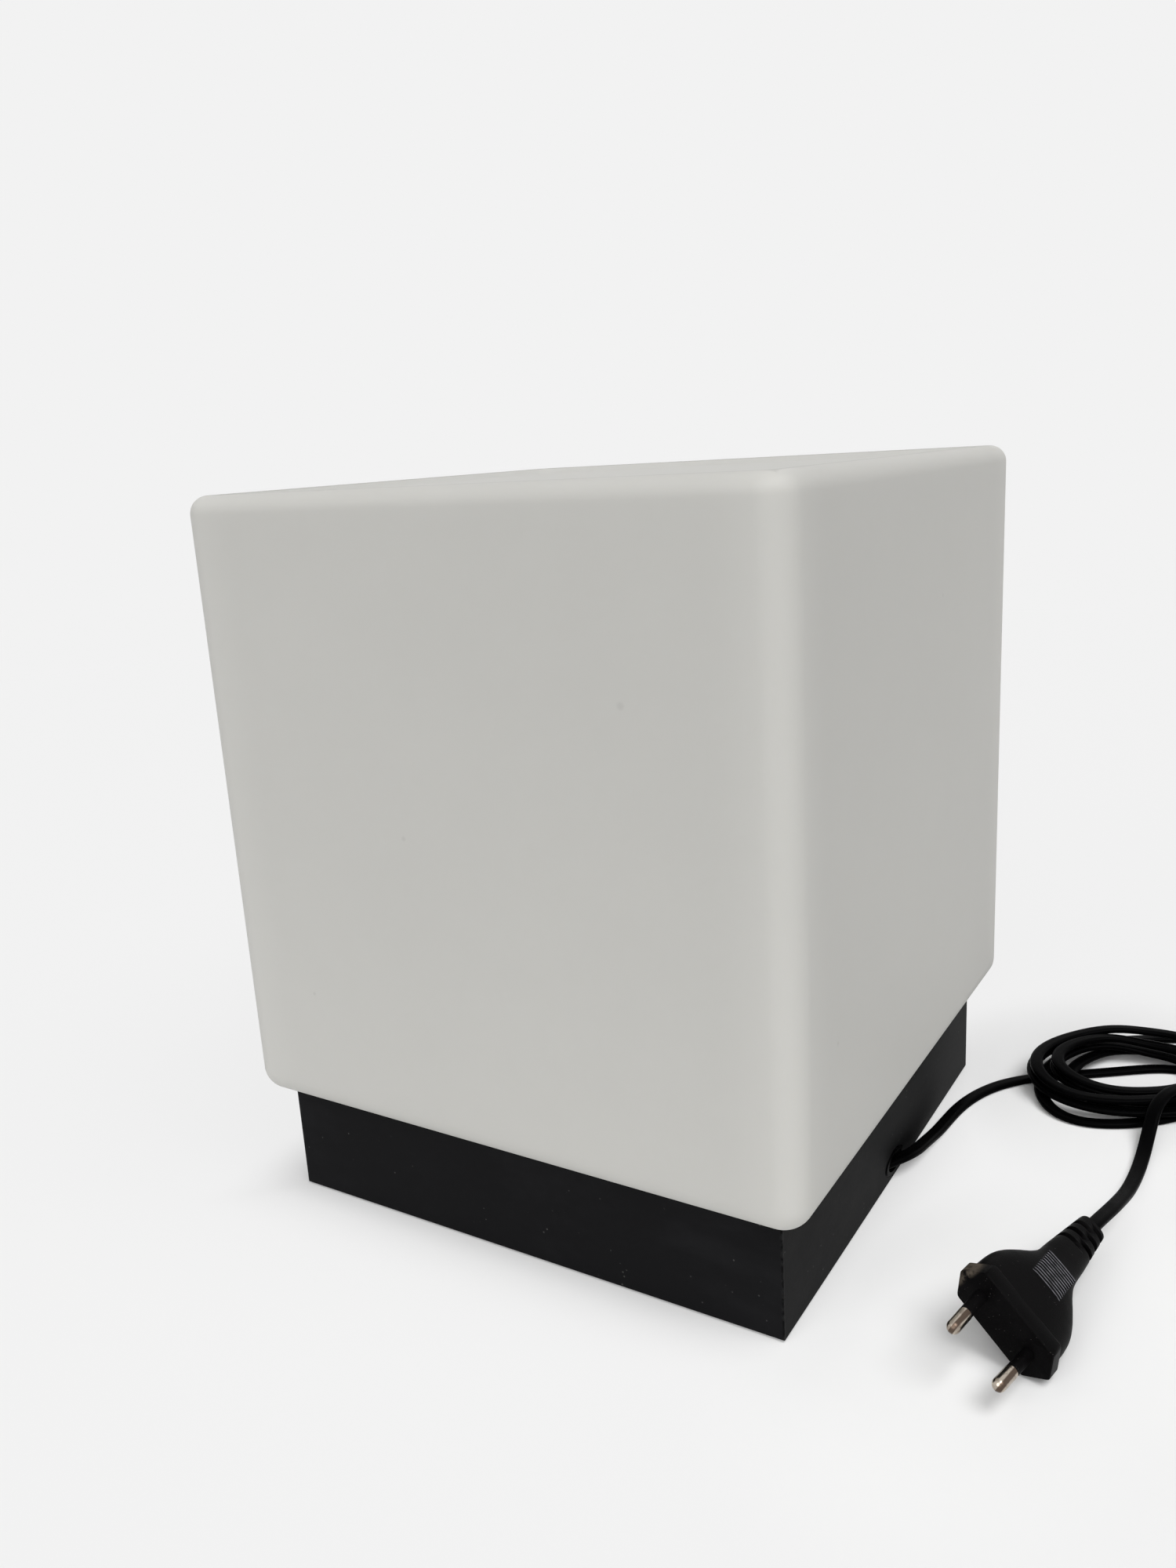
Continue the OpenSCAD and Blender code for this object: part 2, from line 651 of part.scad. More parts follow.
module ceramic_insert() {
    color([0.93, 0.92, 0.88]) translate([0, 0, insert_low]) difference() {
        cylinder(r = insert_r, h = insert_h, $fn = round_fn);
        translate([0, 0, insert_h - 1.5])
            pipe(sleeve_r + sleeve_wall + 0.05, sleeve_r - 0.5, 2);
        translate([0, 0, -1]) cylinder(r = 2.05, h = insert_h + 2, $fn = small_fn);
        for (s = [-1, 1]) translate([s * terminal_at, 0, -1])
            cylinder(r = 1.6, h = 5, $fn = small_fn);
    }
}

module screw_sleeve() {
    color([0.85, 0.68, 0.3]) translate([0, 0, insert_low + insert_h - 1.5])
        pipe(sleeve_r + sleeve_wall, sleeve_r, sleeve_len);
}

module centre_contact() {
    color([0.85, 0.68, 0.3]) {
        translate([0, 0, insert_low + insert_h]) cylinder(r = 4, h = 0.8, $fn = small_fn);
        translate([0, 0, insert_low]) cylinder(r = 2, h = insert_h + 0.8, $fn = small_fn);
    }
}

module terminal_screws() {
    color([0.85, 0.68, 0.3]) for (s = [-1, 1]) translate([s * terminal_at, 0, insert_low - 1.8])
        mirror([0, 0, 1]) screw(1.5, 5, 2.6, 1.8, false);
}

module core_wires() {
    color([0.45, 0.3, 0.2]) for (s = [0, 180]) rotate(s) {
        translate([1 + wire_bend, 0, cord_top]) rotate([90, 0, 0]) rotate(90)
            rotate_extrude(angle = 90, $fn = 48) translate([wire_bend, 0])
                circle(wire_r, $fn = 24);
        translate([0.7 + wire_bend, 0, cord_top + wire_bend]) rotate([0, 90, 0])
            cylinder(r = wire_r - 0.1, h = terminal_at - 2.6 - wire_bend - 0.7, $fn = 24);
    }
}

// Bulb

// The glass envelope's outline: a ball that runs into a neck by one reversed arc
function bulb_outline(r, low, mid, neck) =
    concat([[neck, low], [neck, low + neck_run]],
        [for (s = [0.1:0.1:0.9])
            [lerp(neck, r * cos(26), smooth(s)), lerp(low + neck_run, mid - r * sin(26), s)]],
        [for (a = [-26:8:82]) [r * cos(a), mid + r * sin(a)]], [[0, mid + r]]);

module bulb_glass() {
    outer = bulb_outline(bulb_r, cap_top - glass_sunk, bulb_mid, neck_r);
    inner = bulb_outline(bulb_r - bulb_wall, cap_top - glass_sunk - bulb_wall, bulb_mid,
        neck_r - bulb_wall);
    color([0.95, 0.95, 0.92, 0.5]) rotate_extrude($fn = round_fn) difference() {
        polygon(concat([[0, cap_top - glass_sunk]], outer));
        polygon(concat([[0, cap_top - glass_sunk - bulb_wall]], inner));
    }
}

module bulb_stem() {
    color([0.9, 0.92, 0.92]) {
        translate([0, 0, cap_top - stem_sunk]) cylinder(r1 = neck_r - bulb_wall - 0.4,
            r2 = stem_r, h = stem_flare_h, $fn = small_fn);
        translate([0, 0, cap_top - stem_sunk + stem_flare_h]) cylinder(r = stem_r, h = stem_h, $fn = small_fn);
    }
    color([0.7, 0.7, 0.7]) for (s = [-1, 1]) {
        translate([0, s * stem_r / 2, cap_top - stem_sunk + stem_flare_h - 1 + stem_h])
            rotate([-s * 46, 0, 0]) cylinder(r = lead_wire_r, h = lead_wire_len, $fn = small_fn);
    }
}

module bulb_filament() {
    color([0.4, 0.4, 0.42]) translate([0, 0, filament_z]) rotate(-110)
        rotate_extrude(angle = 220, $fn = 48) translate([filament_ring, 0]) circle(filament_r, $fn = 16);
}

module bulb_cap() {
    color([0.85, 0.75, 0.5]) difference() {
        rotate_extrude($fn = round_fn) polygon(concat([[0, cap_low], [cap_r - 1.6, cap_low]],
            [for (i = [0:thread_turns * 6]) let(z = cap_thread_low + i * thread_pitch / 6)
                [cap_r - thread_depth / 2 - thread_depth / 2 * cos(i * 60), z]],
            [[cap_r - 0.4, cap_top - 3], [cap_r - 0.4, cap_top], [0, cap_top]]));
        translate([0, 0, cap_thread_low]) cylinder(r = cap_r - thread_depth - cap_wall, h = 200,
            $fn = round_fn);
        translate([0, 0, cap_low + 1]) cylinder(r = cap_r - 2.2, h = 3, $fn = round_fn);
        translate([0, 0, cap_low - 1]) cylinder(r = 6, h = 3, $fn = round_fn);
    }
}

module bulb_insulator() {
    color([0.1, 0.1, 0.12]) difference() {
        translate([0, 0, tip_low + tip_h]) cylinder(r1 = tip_r + 0.6, r2 = insulator_r,
            h = insulator_h, $fn = round_fn);
        translate([0, 0, tip_low + tip_h - 1]) cylinder(r = 1.2, h = 3, $fn = small_fn);
    }
}

module bulb_tip() {
    color([0.75, 0.75, 0.75]) translate([0, 0, tip_low])
        cylinder(r1 = tip_r - 1.6, r2 = tip_r, h = tip_h - 0.05, $fn = round_fn);
}

// Cord fixing inside the plinth

module clamp_bridge() {
    color([0.85, 0.84, 0.8]) difference() {
        translate(clamp_at) rotate(clamp_turn)
            translate([-clamp_w / 2, -clamp_len / 2, plate_low - cord_t - clamp_gap - clamp_h])
                cube([clamp_w, clamp_len, clamp_h]);
        at_clamp_screws() translate([0, 0, plate_low - 20])
            cylinder(r = collar_screw_r + screw_gap, h = 30, $fn = small_fn);
    }
}

module clamp_screws() {
    color([0.78, 0.76, 0.7]) at_clamp_screws()
        translate([0, 0, plate_low - cord_t - clamp_gap - clamp_h - collar_head_h])
            mirror([0, 0, 1])
            screw(collar_screw_r, clamp_screw_len + collar_head_h, collar_head_r, collar_head_h, false);
}

module along_exit(back) {
    translate(exit_at - back * exit_dir) rotate([0, 0, 90 - exit_slant]) rotate([0, 90, 0])
        children();
}

module cord_sleeve() {
    color([0.07, 0.07, 0.07]) intersection() {
        along_exit(exit_back) pipe(exit_r + exit_wall, exit_r, 1.5 * exit_back);
        translate([plinth_w / 2 - panel_t, -1.5 * exit_back, 0])
            cube([panel_t + 0.4, 3 * exit_back, exit_back / 2]);
    }
}

module inner_lead() {
    color([0.05, 0.05, 0.05])
        swept(inner_path, [for (p = inner_path) oblong(cord_w, cord_t)], inner_levels);
}

module cord_lead() {
    color([0.05, 0.05, 0.05]) swept(lead_path, [for (p = lead_path) oblong(cord_w, cord_t)]);
}

module cord_coil() {
    color([0.05, 0.05, 0.05]) swept(coil_path, [for (p = coil_path) hexagonal(cord_w, cord_t)]);
}

module cord_tail() {
    color([0.05, 0.05, 0.05]) swept(tail_path, [for (p = tail_path) oblong(cord_w, cord_t)]);
}

// Plug, modelled with its front face at x = 0 and its pins along +X

module placed_plug() {
    translate(plug_at) rotate([0, 0, plug_yaw]) rotate([0, -plug_pitch, 0]) rotate([plug_roll, 0, 0])
        children();
}

module at_pins() {
    splay = atan((pin_gap_root - pin_gap_end) / 2 / pin_len);
    for (s = [-1, 1]) translate([0, s * pin_gap_root / 2, 0]) rotate([0, 90, -s * splay]) children();
}

module plug_body() {
    half = plug_w / 2;
    flat = plug_flat / 2;
    thick = plug_t / 2;
    stations = [[-plug_block, 15.4, 6.7], [-10, 15.7, 6.8], [-15, 15.2, 6.8], [-20, 13.6, 6.7],
        [-25, 11, 6.4], [-29, 8.6, 6], [-33, 7, 5.6], [-37, 6.4, 5.2], [-plug_len, 6.2, 4.9]];
    color([0.06, 0.06, 0.06]) placed_plug() difference() {
        union() {
            rotate([90, 0, 90]) translate([0, 0, -plug_block]) linear_extrude(plug_block)
                polygon([[half, 0], [flat, thick], [-flat, thick], [-half, 0], [-flat, -thick],
                    [flat, -thick]]);
            swept([for (s = stations) [s[0], 0, 0]],
                [for (s = stations) ellipse(2 * s[1], 2 * s[2], 32)]);
            for (i = [0:8]) translate([-31.5 + i, -6.5, 0]) cube([0.45, 13, 6.9 - i * -0.02]);
        }
        at_pins() translate([0, 0, -pin_sunk]) cylinder(r = shank_r + 0.02, h = 20, $fn = small_fn);
    }
}

module plug_relief() {
    steps = 10;
    path = [for (i = [0:steps]) [-plug_len - relief_len * i / steps, 0, 0]];
    color([0.06, 0.06, 0.06]) placed_plug() difference() {
        swept(path, [for (i = [0:steps])
            ellipse(lerp(relief_root[0], relief_tip[0], i / steps),
                lerp(relief_root[1], relief_tip[1], i / steps), 24)]);
        for (i = [0:2], s = [-1, 1])
            translate([-plug_len - 4.5 - 4.5 * i - (s + 1) * 1.1, s * 5 - 3.4, -8]) cube([1.4, 6.8, 16]);
    }
}

module plug_pins() {
    color([0.8, 0.76, 0.68]) placed_plug() at_pins() {
        translate([0, 0, -pin_sunk]) cylinder(r = shank_r, h = pin_sunk + pin_sleeve_len + 0.5,
            $fn = small_fn);
        translate([0, 0, pin_sleeve_len]) cylinder(r = pin_r, h = pin_len - pin_sleeve_len - pin_r,
            $fn = round_fn);
        translate([0, 0, pin_len - pin_r]) sphere(r = pin_r, $fn = round_fn);
    }
}

module pin_sleeves() {
    color([0.06, 0.06, 0.06]) placed_plug() at_pins()
        translate([0, 0, 0.06])
            pipe(pin_sleeve_r, shank_r + 0.02, pin_sleeve_len - 0.08, small_fn);
}

glass_shade();
front_panel();
right_panel();
rear_panel();
left_panel();
top_plate();
corner_blocks();
bottom_cover();
cover_screws();
foot_pads();
felt_ring();
shade_collar();
collar_screws();
threaded_tube();
tube_nuts();
tube_washers();
holder_cap();
holder_shell();
ceramic_insert();
screw_sleeve();
centre_contact();
terminal_screws();
core_wires();
bulb_glass();
bulb_stem();
bulb_filament();
bulb_cap();
bulb_insulator();
bulb_tip();
clamp_bridge();
clamp_screws();
cord_sleeve();
inner_lead();
cord_lead();
cord_coil();
cord_tail();
plug_body();
plug_relief();
plug_pins();
pin_sleeves();
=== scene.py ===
"""Scene of a cube table lamp: an opal glass cube on a black plinth, with its coiled cord and plug.

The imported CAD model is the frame. Visible pieces are numpy surfaces in metres, in the frame's
coordinates, and every piece and CAD node has a procedural material.
"""
import json
import logging
import math
from dataclasses import dataclass, field
from enum import Enum

import bpy
import numpy as np
from mathutils import Matrix, Vector


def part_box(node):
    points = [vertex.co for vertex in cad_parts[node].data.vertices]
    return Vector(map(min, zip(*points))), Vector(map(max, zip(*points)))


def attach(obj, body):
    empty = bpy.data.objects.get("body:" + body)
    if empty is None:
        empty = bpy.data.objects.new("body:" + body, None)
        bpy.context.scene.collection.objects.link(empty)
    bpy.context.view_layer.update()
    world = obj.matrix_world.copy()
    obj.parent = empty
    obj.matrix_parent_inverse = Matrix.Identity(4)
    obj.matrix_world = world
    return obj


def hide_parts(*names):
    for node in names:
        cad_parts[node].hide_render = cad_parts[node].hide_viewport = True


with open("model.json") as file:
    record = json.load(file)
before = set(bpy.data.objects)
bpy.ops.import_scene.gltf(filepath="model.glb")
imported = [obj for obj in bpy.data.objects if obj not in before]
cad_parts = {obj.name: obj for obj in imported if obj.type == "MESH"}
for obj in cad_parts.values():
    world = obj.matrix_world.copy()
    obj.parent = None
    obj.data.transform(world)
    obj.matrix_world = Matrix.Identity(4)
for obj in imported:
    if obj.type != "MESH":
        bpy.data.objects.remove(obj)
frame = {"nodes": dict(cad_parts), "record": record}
LOG = logging.getLogger("cube_lamp")
MM = 0.001
UP = np.array([0.0, 0.0, 1.0])
Colour = tuple[float, float, float]
Span = tuple[float, float]
Rings = list[tuple[float, float, float]]


class Body(Enum):
    """The rigid bodies of the lamp."""

    BASE = "base"
    SHADE = "shade"
    BULB = "bulb"


class Grain(Enum):
    """Ways in which a finish breaks up its colour."""

    CLOUD = "cloud"
    BRUSHED = "brushed"
    WOOD = "wood"
    FELT = "felt"
    SPECK = "speck"


# ----------------------------------------------------------------- shader arithmetic


@dataclass
class Value:
    """One socket of a shader graph that can be added, multiplied and shaped."""

    graph: "Graph"
    socket: object

    def _math(self, operation: str, *others: object) -> "Value":
        """Applies a Math node.

        Args:
            operation: The Math node's operation.
            others: Further operands, each a Value or a number.

        Returns:
            The result as a Value.
        """
        return self.graph.node("ShaderNodeMath", {"operation": operation},
                               dict(enumerate((self, *others))))

    def __add__(self, other: object) -> "Value":
        """Returns the sum of this value and another."""
        return self._math("ADD", other)

    def __sub__(self, other: object) -> "Value":
        """Returns this value less another."""
        return self._math("SUBTRACT", other)

    def __rsub__(self, other: object) -> "Value":
        """Returns another value less this one."""
        return self._math("MULTIPLY_ADD", -1.0, other)

    def __mul__(self, other: object) -> "Value":
        """Returns the product of this value and another."""
        return self._math("MULTIPLY", other)

    __radd__, __rmul__ = __add__, __mul__

    def __pow__(self, other: object) -> "Value":
        """Returns this value raised to a power."""
        return self._math("POWER", other)

    def __abs__(self) -> "Value":
        """Returns this value without its sign."""
        return self._math("ABSOLUTE")

    def larger(self, other: object) -> "Value":
        """Returns the larger of this value and another."""
        return self._math("MAXIMUM", other)

    def smaller(self, other: object) -> "Value":
        """Returns the smaller of this value and another."""
        return self._math("MINIMUM", other)

    def sine(self) -> "Value":
        """Returns the sine of this value, in radians."""
        return self._math("SINE")

    def ramp(self, low: float, high: float, start: float = 0.0, end: float = 1.0) -> "Value":
        """Maps this value smoothly from one range to another.

        Args:
            low: Value that gives start.
            high: Value that gives end.
            start: Result at low and beyond it.
            end: Result at high and beyond it.

        Returns:
            The mapped Value.
        """
        settings = {"interpolation_type": "SMOOTHSTEP"}
        return self.graph.node("ShaderNodeMapRange", settings,
                               {0: self, 1: low, 2: high, 3: start, 4: end})


@dataclass
class Graph:
    """The node tree of a material or a world, built by short calls.

    Attributes:
        owner: The material or world.
        end: Kind of node that ends the tree.
    """

    owner: bpy.types.Material | bpy.types.World
    end: str = "ShaderNodeOutputMaterial"

    def __post_init__(self) -> None:
        """Empties the owner's node tree."""
        self.owner.use_nodes = True
        self.tree = self.owner.node_tree
        self.tree.nodes.clear()

    def node(self, kind: str, settings: dict | None = None, inputs: dict | None = None,
             output: int | str = 0) -> Value:
        """Makes any node and links or sets its inputs.

        Args:
            kind: The node's type.
            settings: Attributes of the node.
            inputs: Sockets by number or name, each a Value or a constant.
            output: The output socket to return.

        Returns:
            The chosen output as a Value.
        """
        made = self.tree.nodes.new(kind)
        for name, value in (settings or {}).items():
            setattr(made, name, value)
        for name, value in (inputs or {}).items():
            socket = made.inputs[name]
            if isinstance(value, Value):
                self.tree.links.new(value.socket, socket)
            else:
                socket.default_value = value
        return Value(self, made.outputs[output])

    def place(self) -> Value:
        """Returns the point in the object's own coordinates."""
        return self.node("ShaderNodeTexCoord", output="Object")

    def axis(self, name: str) -> Value:
        """Returns one of the coordinates X, Y and Z of the point."""
        return self.node("ShaderNodeSeparateXYZ", {}, {0: self.place()}, name)

    def stretched(self, scale: tuple[float, float, float]) -> Value:
        """Returns the point with each axis scaled."""
        return self.node("ShaderNodeMapping", {}, {"Vector": self.place(), "Scale": scale})

    def noise(self, scale: float, detail: float = 3.0, rough: float = 0.5,
              at: Value | None = None, twist: float = 0.0) -> Value:
        """Returns fractal noise from 0 to 1.

        Args:
            scale: Cells a metre.
            detail: Number of octaves.
            rough: Strength of the finer octaves.
            at: The point, or None for the object's coordinates.
            twist: Distortion of the pattern.

        Returns:
            The noise as a Value.
        """
        inputs = {"Vector": at or self.place(), "Scale": scale, "Detail": detail,
                  "Roughness": rough, "Distortion": twist}
        return self.node("ShaderNodeTexNoise", {}, inputs, "Fac")

    def cells(self, scale: float) -> Value:
        """Returns the distance to the nearest of scattered points."""
        return self.node("ShaderNodeTexVoronoi", {}, {"Vector": self.place(), "Scale": scale},
                         "Distance")

    def flecks(self, scale: float, core: float, rim: float) -> Value:
        """Returns small round flecks round scattered points.

        Args:
            scale: Points a metre.
            core: Distance from a point up to which the fleck is full.
            rim: Distance at which it ends.

        Returns:
            The flecks as a Value, 1 in a fleck and 0 outside.
        """
        return self.cells(scale).ramp(core, rim, 1.0, 0.0)

    def distance(self, point: tuple | list) -> Value:
        """Returns the distance from a fixed point, in metres."""
        return self.node("ShaderNodeVectorMath", {"operation": "DISTANCE"},
                         {0: self.place(), 1: point}, "Value")

    def askew(self, pose: "Pose") -> tuple[Value, Value, Value]:
        """Returns the point's coordinates along a pose's three axes, in millimetres."""
        offset = self.node("ShaderNodeVectorMath", {"operation": "SUBTRACT"},
                           {0: self.place(), 1: tuple(pose.origin)})
        return tuple(self.node("ShaderNodeVectorMath", {"operation": "DOT_PRODUCT"},
                               {0: offset, 1: tuple(axis)}, "Value") * (1 / MM)
                     for axis in (pose.along, pose.across, pose.normal))

    def tint(self, mix: object, low: Colour | Value, high: Colour) -> Value:
        """Returns a colour between two colours.

        Args:
            mix: Value from 0 to 1.
            low: Linear colour at 0, or a Value that holds one.
            high: Linear colour at 1.

        Returns:
            The colour as a Value.
        """
        first = low if isinstance(low, Value) else (*low, 1.0)
        return self.node("ShaderNodeMix", {"data_type": "RGBA"},
                         {0: mix, 6: first, 7: (*high, 1.0)}, 2)

    def bump(self, height: Value, distance: float, strength: float = 1.0,
             under: Value | None = None) -> Value:
        """Returns a normal bent by a height.

        Args:
            height: Height from 0 to 1.
            distance: Metres that a height of 1 stands for.
            strength: Share of the effect.
            under: Normal of a coarser bump, or None.

        Returns:
            The normal as a Value.
        """
        inputs = {"Height": height, "Distance": distance, "Strength": strength}
        if under is not None:
            inputs["Normal"] = under
        return self.node("ShaderNodeBump", {}, inputs)

    def surface(self, **inputs: object) -> None:
        """Ends the graph with a Principled BSDF; underscores stand for spaces in its sockets."""
        named = {name.replace("_", " "): value for name, value in inputs.items()}
        self.finish(self.node("ShaderNodeBsdfPrincipled", {}, named))

    def finish(self, shader: Value) -> None:
        """Links a shader to the tree's output."""
        out = self.tree.nodes.new(self.end)
        self.tree.links.new(shader.socket, out.inputs["Surface"])


# ------------------------------------------------------------------------- finishes


@dataclass(frozen=True)
class Finish:
    """A plain surface whose colour, roughness and relief vary a little.

    Attributes:
        name: Name of the material.
        colour: Linear base colour.
        rough: Mean roughness.
        metallic: 1 for bare metal.
        grain: The pattern that breaks up the colour.
        scale: Pattern cells a metre.
        spread: Share by which the colour varies.
        depth: Relief of the pattern in metres.
        coat: Constant clear coat weight.
    """

    name: str
    colour: Colour
    rough: float = 0.5
    metallic: float = 0.0
    grain: Grain = Grain.CLOUD
    scale: float = 60.0
    spread: float = 0.12
    depth: float = 0.00002
    coat: float = 0.0

    def make(self) -> bpy.types.Material:
        """Returns a new material with this finish."""
        graph = Graph(bpy.data.materials.new(self.name))
        self.shade(graph)
        return graph.owner

    def toned(self, factor: float) -> Colour:
        """Returns the colour times a factor, held at 1."""
        return tuple(min(1.0, c * factor) for c in self.colour)

    def pattern(self, graph: Graph) -> Value:
        """Chooses the pattern that drives colour and relief.

        Args:
            graph: The graph that gets the pattern's nodes.

        Returns:
            The pattern from 0 to 1.
        """
        if self.grain is Grain.BRUSHED:
            return graph.noise(self.scale, 4, 0.6, graph.stretched((1.0, 1.0, 14.0)))
        if self.grain is Grain.WOOD:
            rings = graph.noise(self.scale * 0.35, 3, 0.5, graph.stretched((1.0, 6.0, 6.0)))
            fibres = graph.noise(self.scale * 5, 2, 0.5, graph.stretched((1.0, 12.0, 12.0)))
            return rings * 0.6 + fibres * 0.4
        if self.grain is Grain.FELT:
            return graph.noise(self.scale * 20, 5, 0.75, twist=1.5)
        if self.grain is Grain.SPECK:
            return graph.cells(self.scale * 10).ramp(0.05, 0.5)
        return graph.noise(self.scale, 5, 0.6)

    def shade(self, graph: Graph) -> None:
        """Builds the shader.

        Args:
            graph: The empty graph to fill.
        """
        pattern = self.pattern(graph)
        low, high = self.toned(1 - self.spread), self.toned(1 + self.spread)
        fine = graph.noise(self.scale * 25, 2, 0.5)
        rough = (pattern * 0.12 + fine * 0.08 + (self.rough - 0.1)).larger(0.04)
        normal = graph.bump(pattern * 0.6 + fine * 0.4, self.depth)
        graph.surface(Base_Color=graph.tint(pattern, low, high), Roughness=rough,
                      Metallic=self.metallic, Coat_Weight=self.coat, Normal=normal)


@dataclass(frozen=True)
class OpalGlass(Finish):
    """Satin opal glass, milk-white and faintly clouded, with a few blemishes, painted highlights
    and painted shade.

    Attributes:
        blemishes: Place and radius of each blemish, in metres.
        blemish_colour: Linear colour of the blemishes.
        foot: Heights between which the painted light on the glass's paler foot ends, in metres.
        upright: Distances from the axis between which the glass pales to its upright edges, a
            painted highlight.
        front: Places along Y between which the front ends; the front gets less of the foot's
            painted light.
        top: Heights above which the painted shade line belongs to the top.
        rim: Distances from the axis at which the painted shade line of the top begins and ends.
    """

    blemishes: tuple[tuple[float, float, float, float], ...] = ()
    blemish_colour: Colour = (0.33, 0.32, 0.31)
    foot: Span = (0.045, 0.12)
    upright: Span = (0.080, 0.103)
    front: Span = (-0.0990, -0.0900)
    top: Span = (0.2465, 0.2485)
    rim: tuple[Span, Span] = ((0.0955, 0.0975), (0.0990, 0.1005))

    def shade(self, graph: Graph) -> None:
        """Builds the shader.

        Args:
            graph: The empty graph to fill.
        """
        cloud = graph.noise(9, 3, 0.5)
        milk = graph.noise(55, 4, 0.6)
        colour = graph.tint(cloud * 0.65 + milk * 0.35, self.toned(0.965), self.toned(1.035))
        wide, deep = abs(graph.axis("X")), abs(graph.axis("Y"))
        # painted highlight: the glass pales towards its upright edges; painted light from the
        # floor: it pales towards its foot, less on the front face
        edge_highlight = wide.smaller(deep).ramp(*self.upright)
        front = graph.axis("Y").ramp(*self.front, 1.0, 0.0)
        foot = graph.axis("Z").ramp(*self.foot, 1.0, 0.0) * (0.25 - front * 0.15)
        colour = graph.tint((edge_highlight * 0.75 + foot).smaller(1.0), colour, self.toned(1.09))
        # painted shade: a dark line round the top, just inside its rounded rim
        away = wide.larger(deep)
        line = (graph.axis("Z").ramp(*self.top) * away.ramp(*self.rim[0])
                * away.ramp(*self.rim[1], 1.0, 0.0))
        colour = graph.tint(line * 0.55, colour, self.toned(0.72))
        for *centre, size in self.blemishes:
            mark = graph.distance(centre).ramp(size * 0.3, size, 0.22, 0.0)
            colour = graph.tint(mark, colour, self.blemish_colour)
        grain = graph.noise(2600, 2, 0.6)
        waves = graph.noise(14, 2, 0.5)
        rough = grain * 0.06 + cloud * 0.06 + (self.rough - 0.06)
        soft = graph.bump(waves, 0.0006, 0.5)
        normal = graph.bump(grain, 0.00002, 0.6, soft)
        graph.surface(Base_Color=colour, Roughness=rough, Normal=normal, IOR=1.5,
                      Specular_IOR_Level=0.2, Subsurface_Weight=0.2, Subsurface_Scale=0.004,
                      Subsurface_Radius=(1.0, 0.95, 0.85))


@dataclass(frozen=True)
class Lacquer(Finish):
    """Satin black lacquer with cloudy wipe marks, dust and worn edges, and painted shade that
    darkens its right side.

    Attributes:
        half: Half the width of the lacquered plinth in metres.
        dust: Strength of the dust.
        dust_colour: Linear colour of the dust.
        worn_colour: Linear colour of the worn edges.
    """

    half: float = 0.095
    dust: float = 0.36
    dust_colour: Colour = (0.16, 0.155, 0.15)
    worn_colour: Colour = (0.10, 0.10, 0.10)

    def shade(self, graph: Graph) -> None:
        """Builds the shader.

        Args:
            graph: The empty graph to fill.
        """
        cloud = graph.noise(16, 5, 0.65, twist=0.6)
        wipe = graph.noise(30, 4, 0.6, graph.stretched((1.0, 1.0, 3.5)))
        # painted shade: the right side (+X) is darkened, and its wipe marks are fainter
        right = graph.axis("X").ramp(self.half - 0.0008, self.half - 0.0005)
        smear = (cloud * 0.6 + wipe * 0.4).ramp(0.45, 0.72) * (1.0 - right * 0.6)
        sparse = graph.noise(210, 2, 0.5).ramp(0.58, 0.66)
        dust = graph.flecks(420, 0.10, 0.16) * sparse * self.dust
        side = abs(graph.axis("X")).smaller(abs(graph.axis("Y")))
        worn = side.ramp(self.half - 0.0011, self.half - 0.0002)
        chips = graph.noise(380, 3, 0.7).ramp(0.42, 0.62)
        # the right side's painted shade
        base = graph.tint(right * 0.9, self.colour, self.toned(0.22))
        base = graph.tint(smear * 0.45, base, self.toned(2.2))
        base = graph.tint(worn * chips * 0.14, base, self.worn_colour)
        base = graph.tint(dust, base, self.dust_colour)
        peel = graph.noise(900, 2, 0.5)
        rough = smear * 0.16 + dust * 0.25 + peel * 0.05 + (self.rough - 0.04)
        graph.surface(Base_Color=base, Roughness=rough, Normal=graph.bump(peel, 0.000012),
                      Specular_IOR_Level=0.025)


@dataclass(frozen=True)
class Moulded(Finish):
    """Soft moulded plastic: a fine eroded skin with lint and dull rubbed patches.

    Attributes:
        lint: Strength of the lint.
        gloss: Specular level.
        lint_colour: Linear colour of the lint.
    """

    lint: float = 0.35
    gloss: float = 0.3
    lint_colour: Colour = (0.30, 0.29, 0.28)

    def shade(self, graph: Graph) -> None:
        """Builds the shader.

        Args:
            graph: The empty graph to fill.
        """
        skin = graph.noise(self.scale * 30, 3, 0.65)
        rub = graph.noise(self.scale, 4, 0.55).ramp(0.42, 0.7)
        sparse = graph.noise(self.scale * 7, 2, 0.5).ramp(0.60, 0.68)
        lint = graph.flecks(self.scale * 16, 0.07, 0.13) * sparse * self.lint
        base = graph.tint(rub * 0.7, self.colour, self.toned(1.9))
        base = graph.tint(lint, base, self.lint_colour)
        rough = rub * 0.14 + skin * 0.10 + lint * 0.3 + (self.rough - 0.08)
        graph.surface(Base_Color=base, Roughness=rough, Normal=graph.bump(skin, self.depth),
                      Specular_IOR_Level=self.gloss)


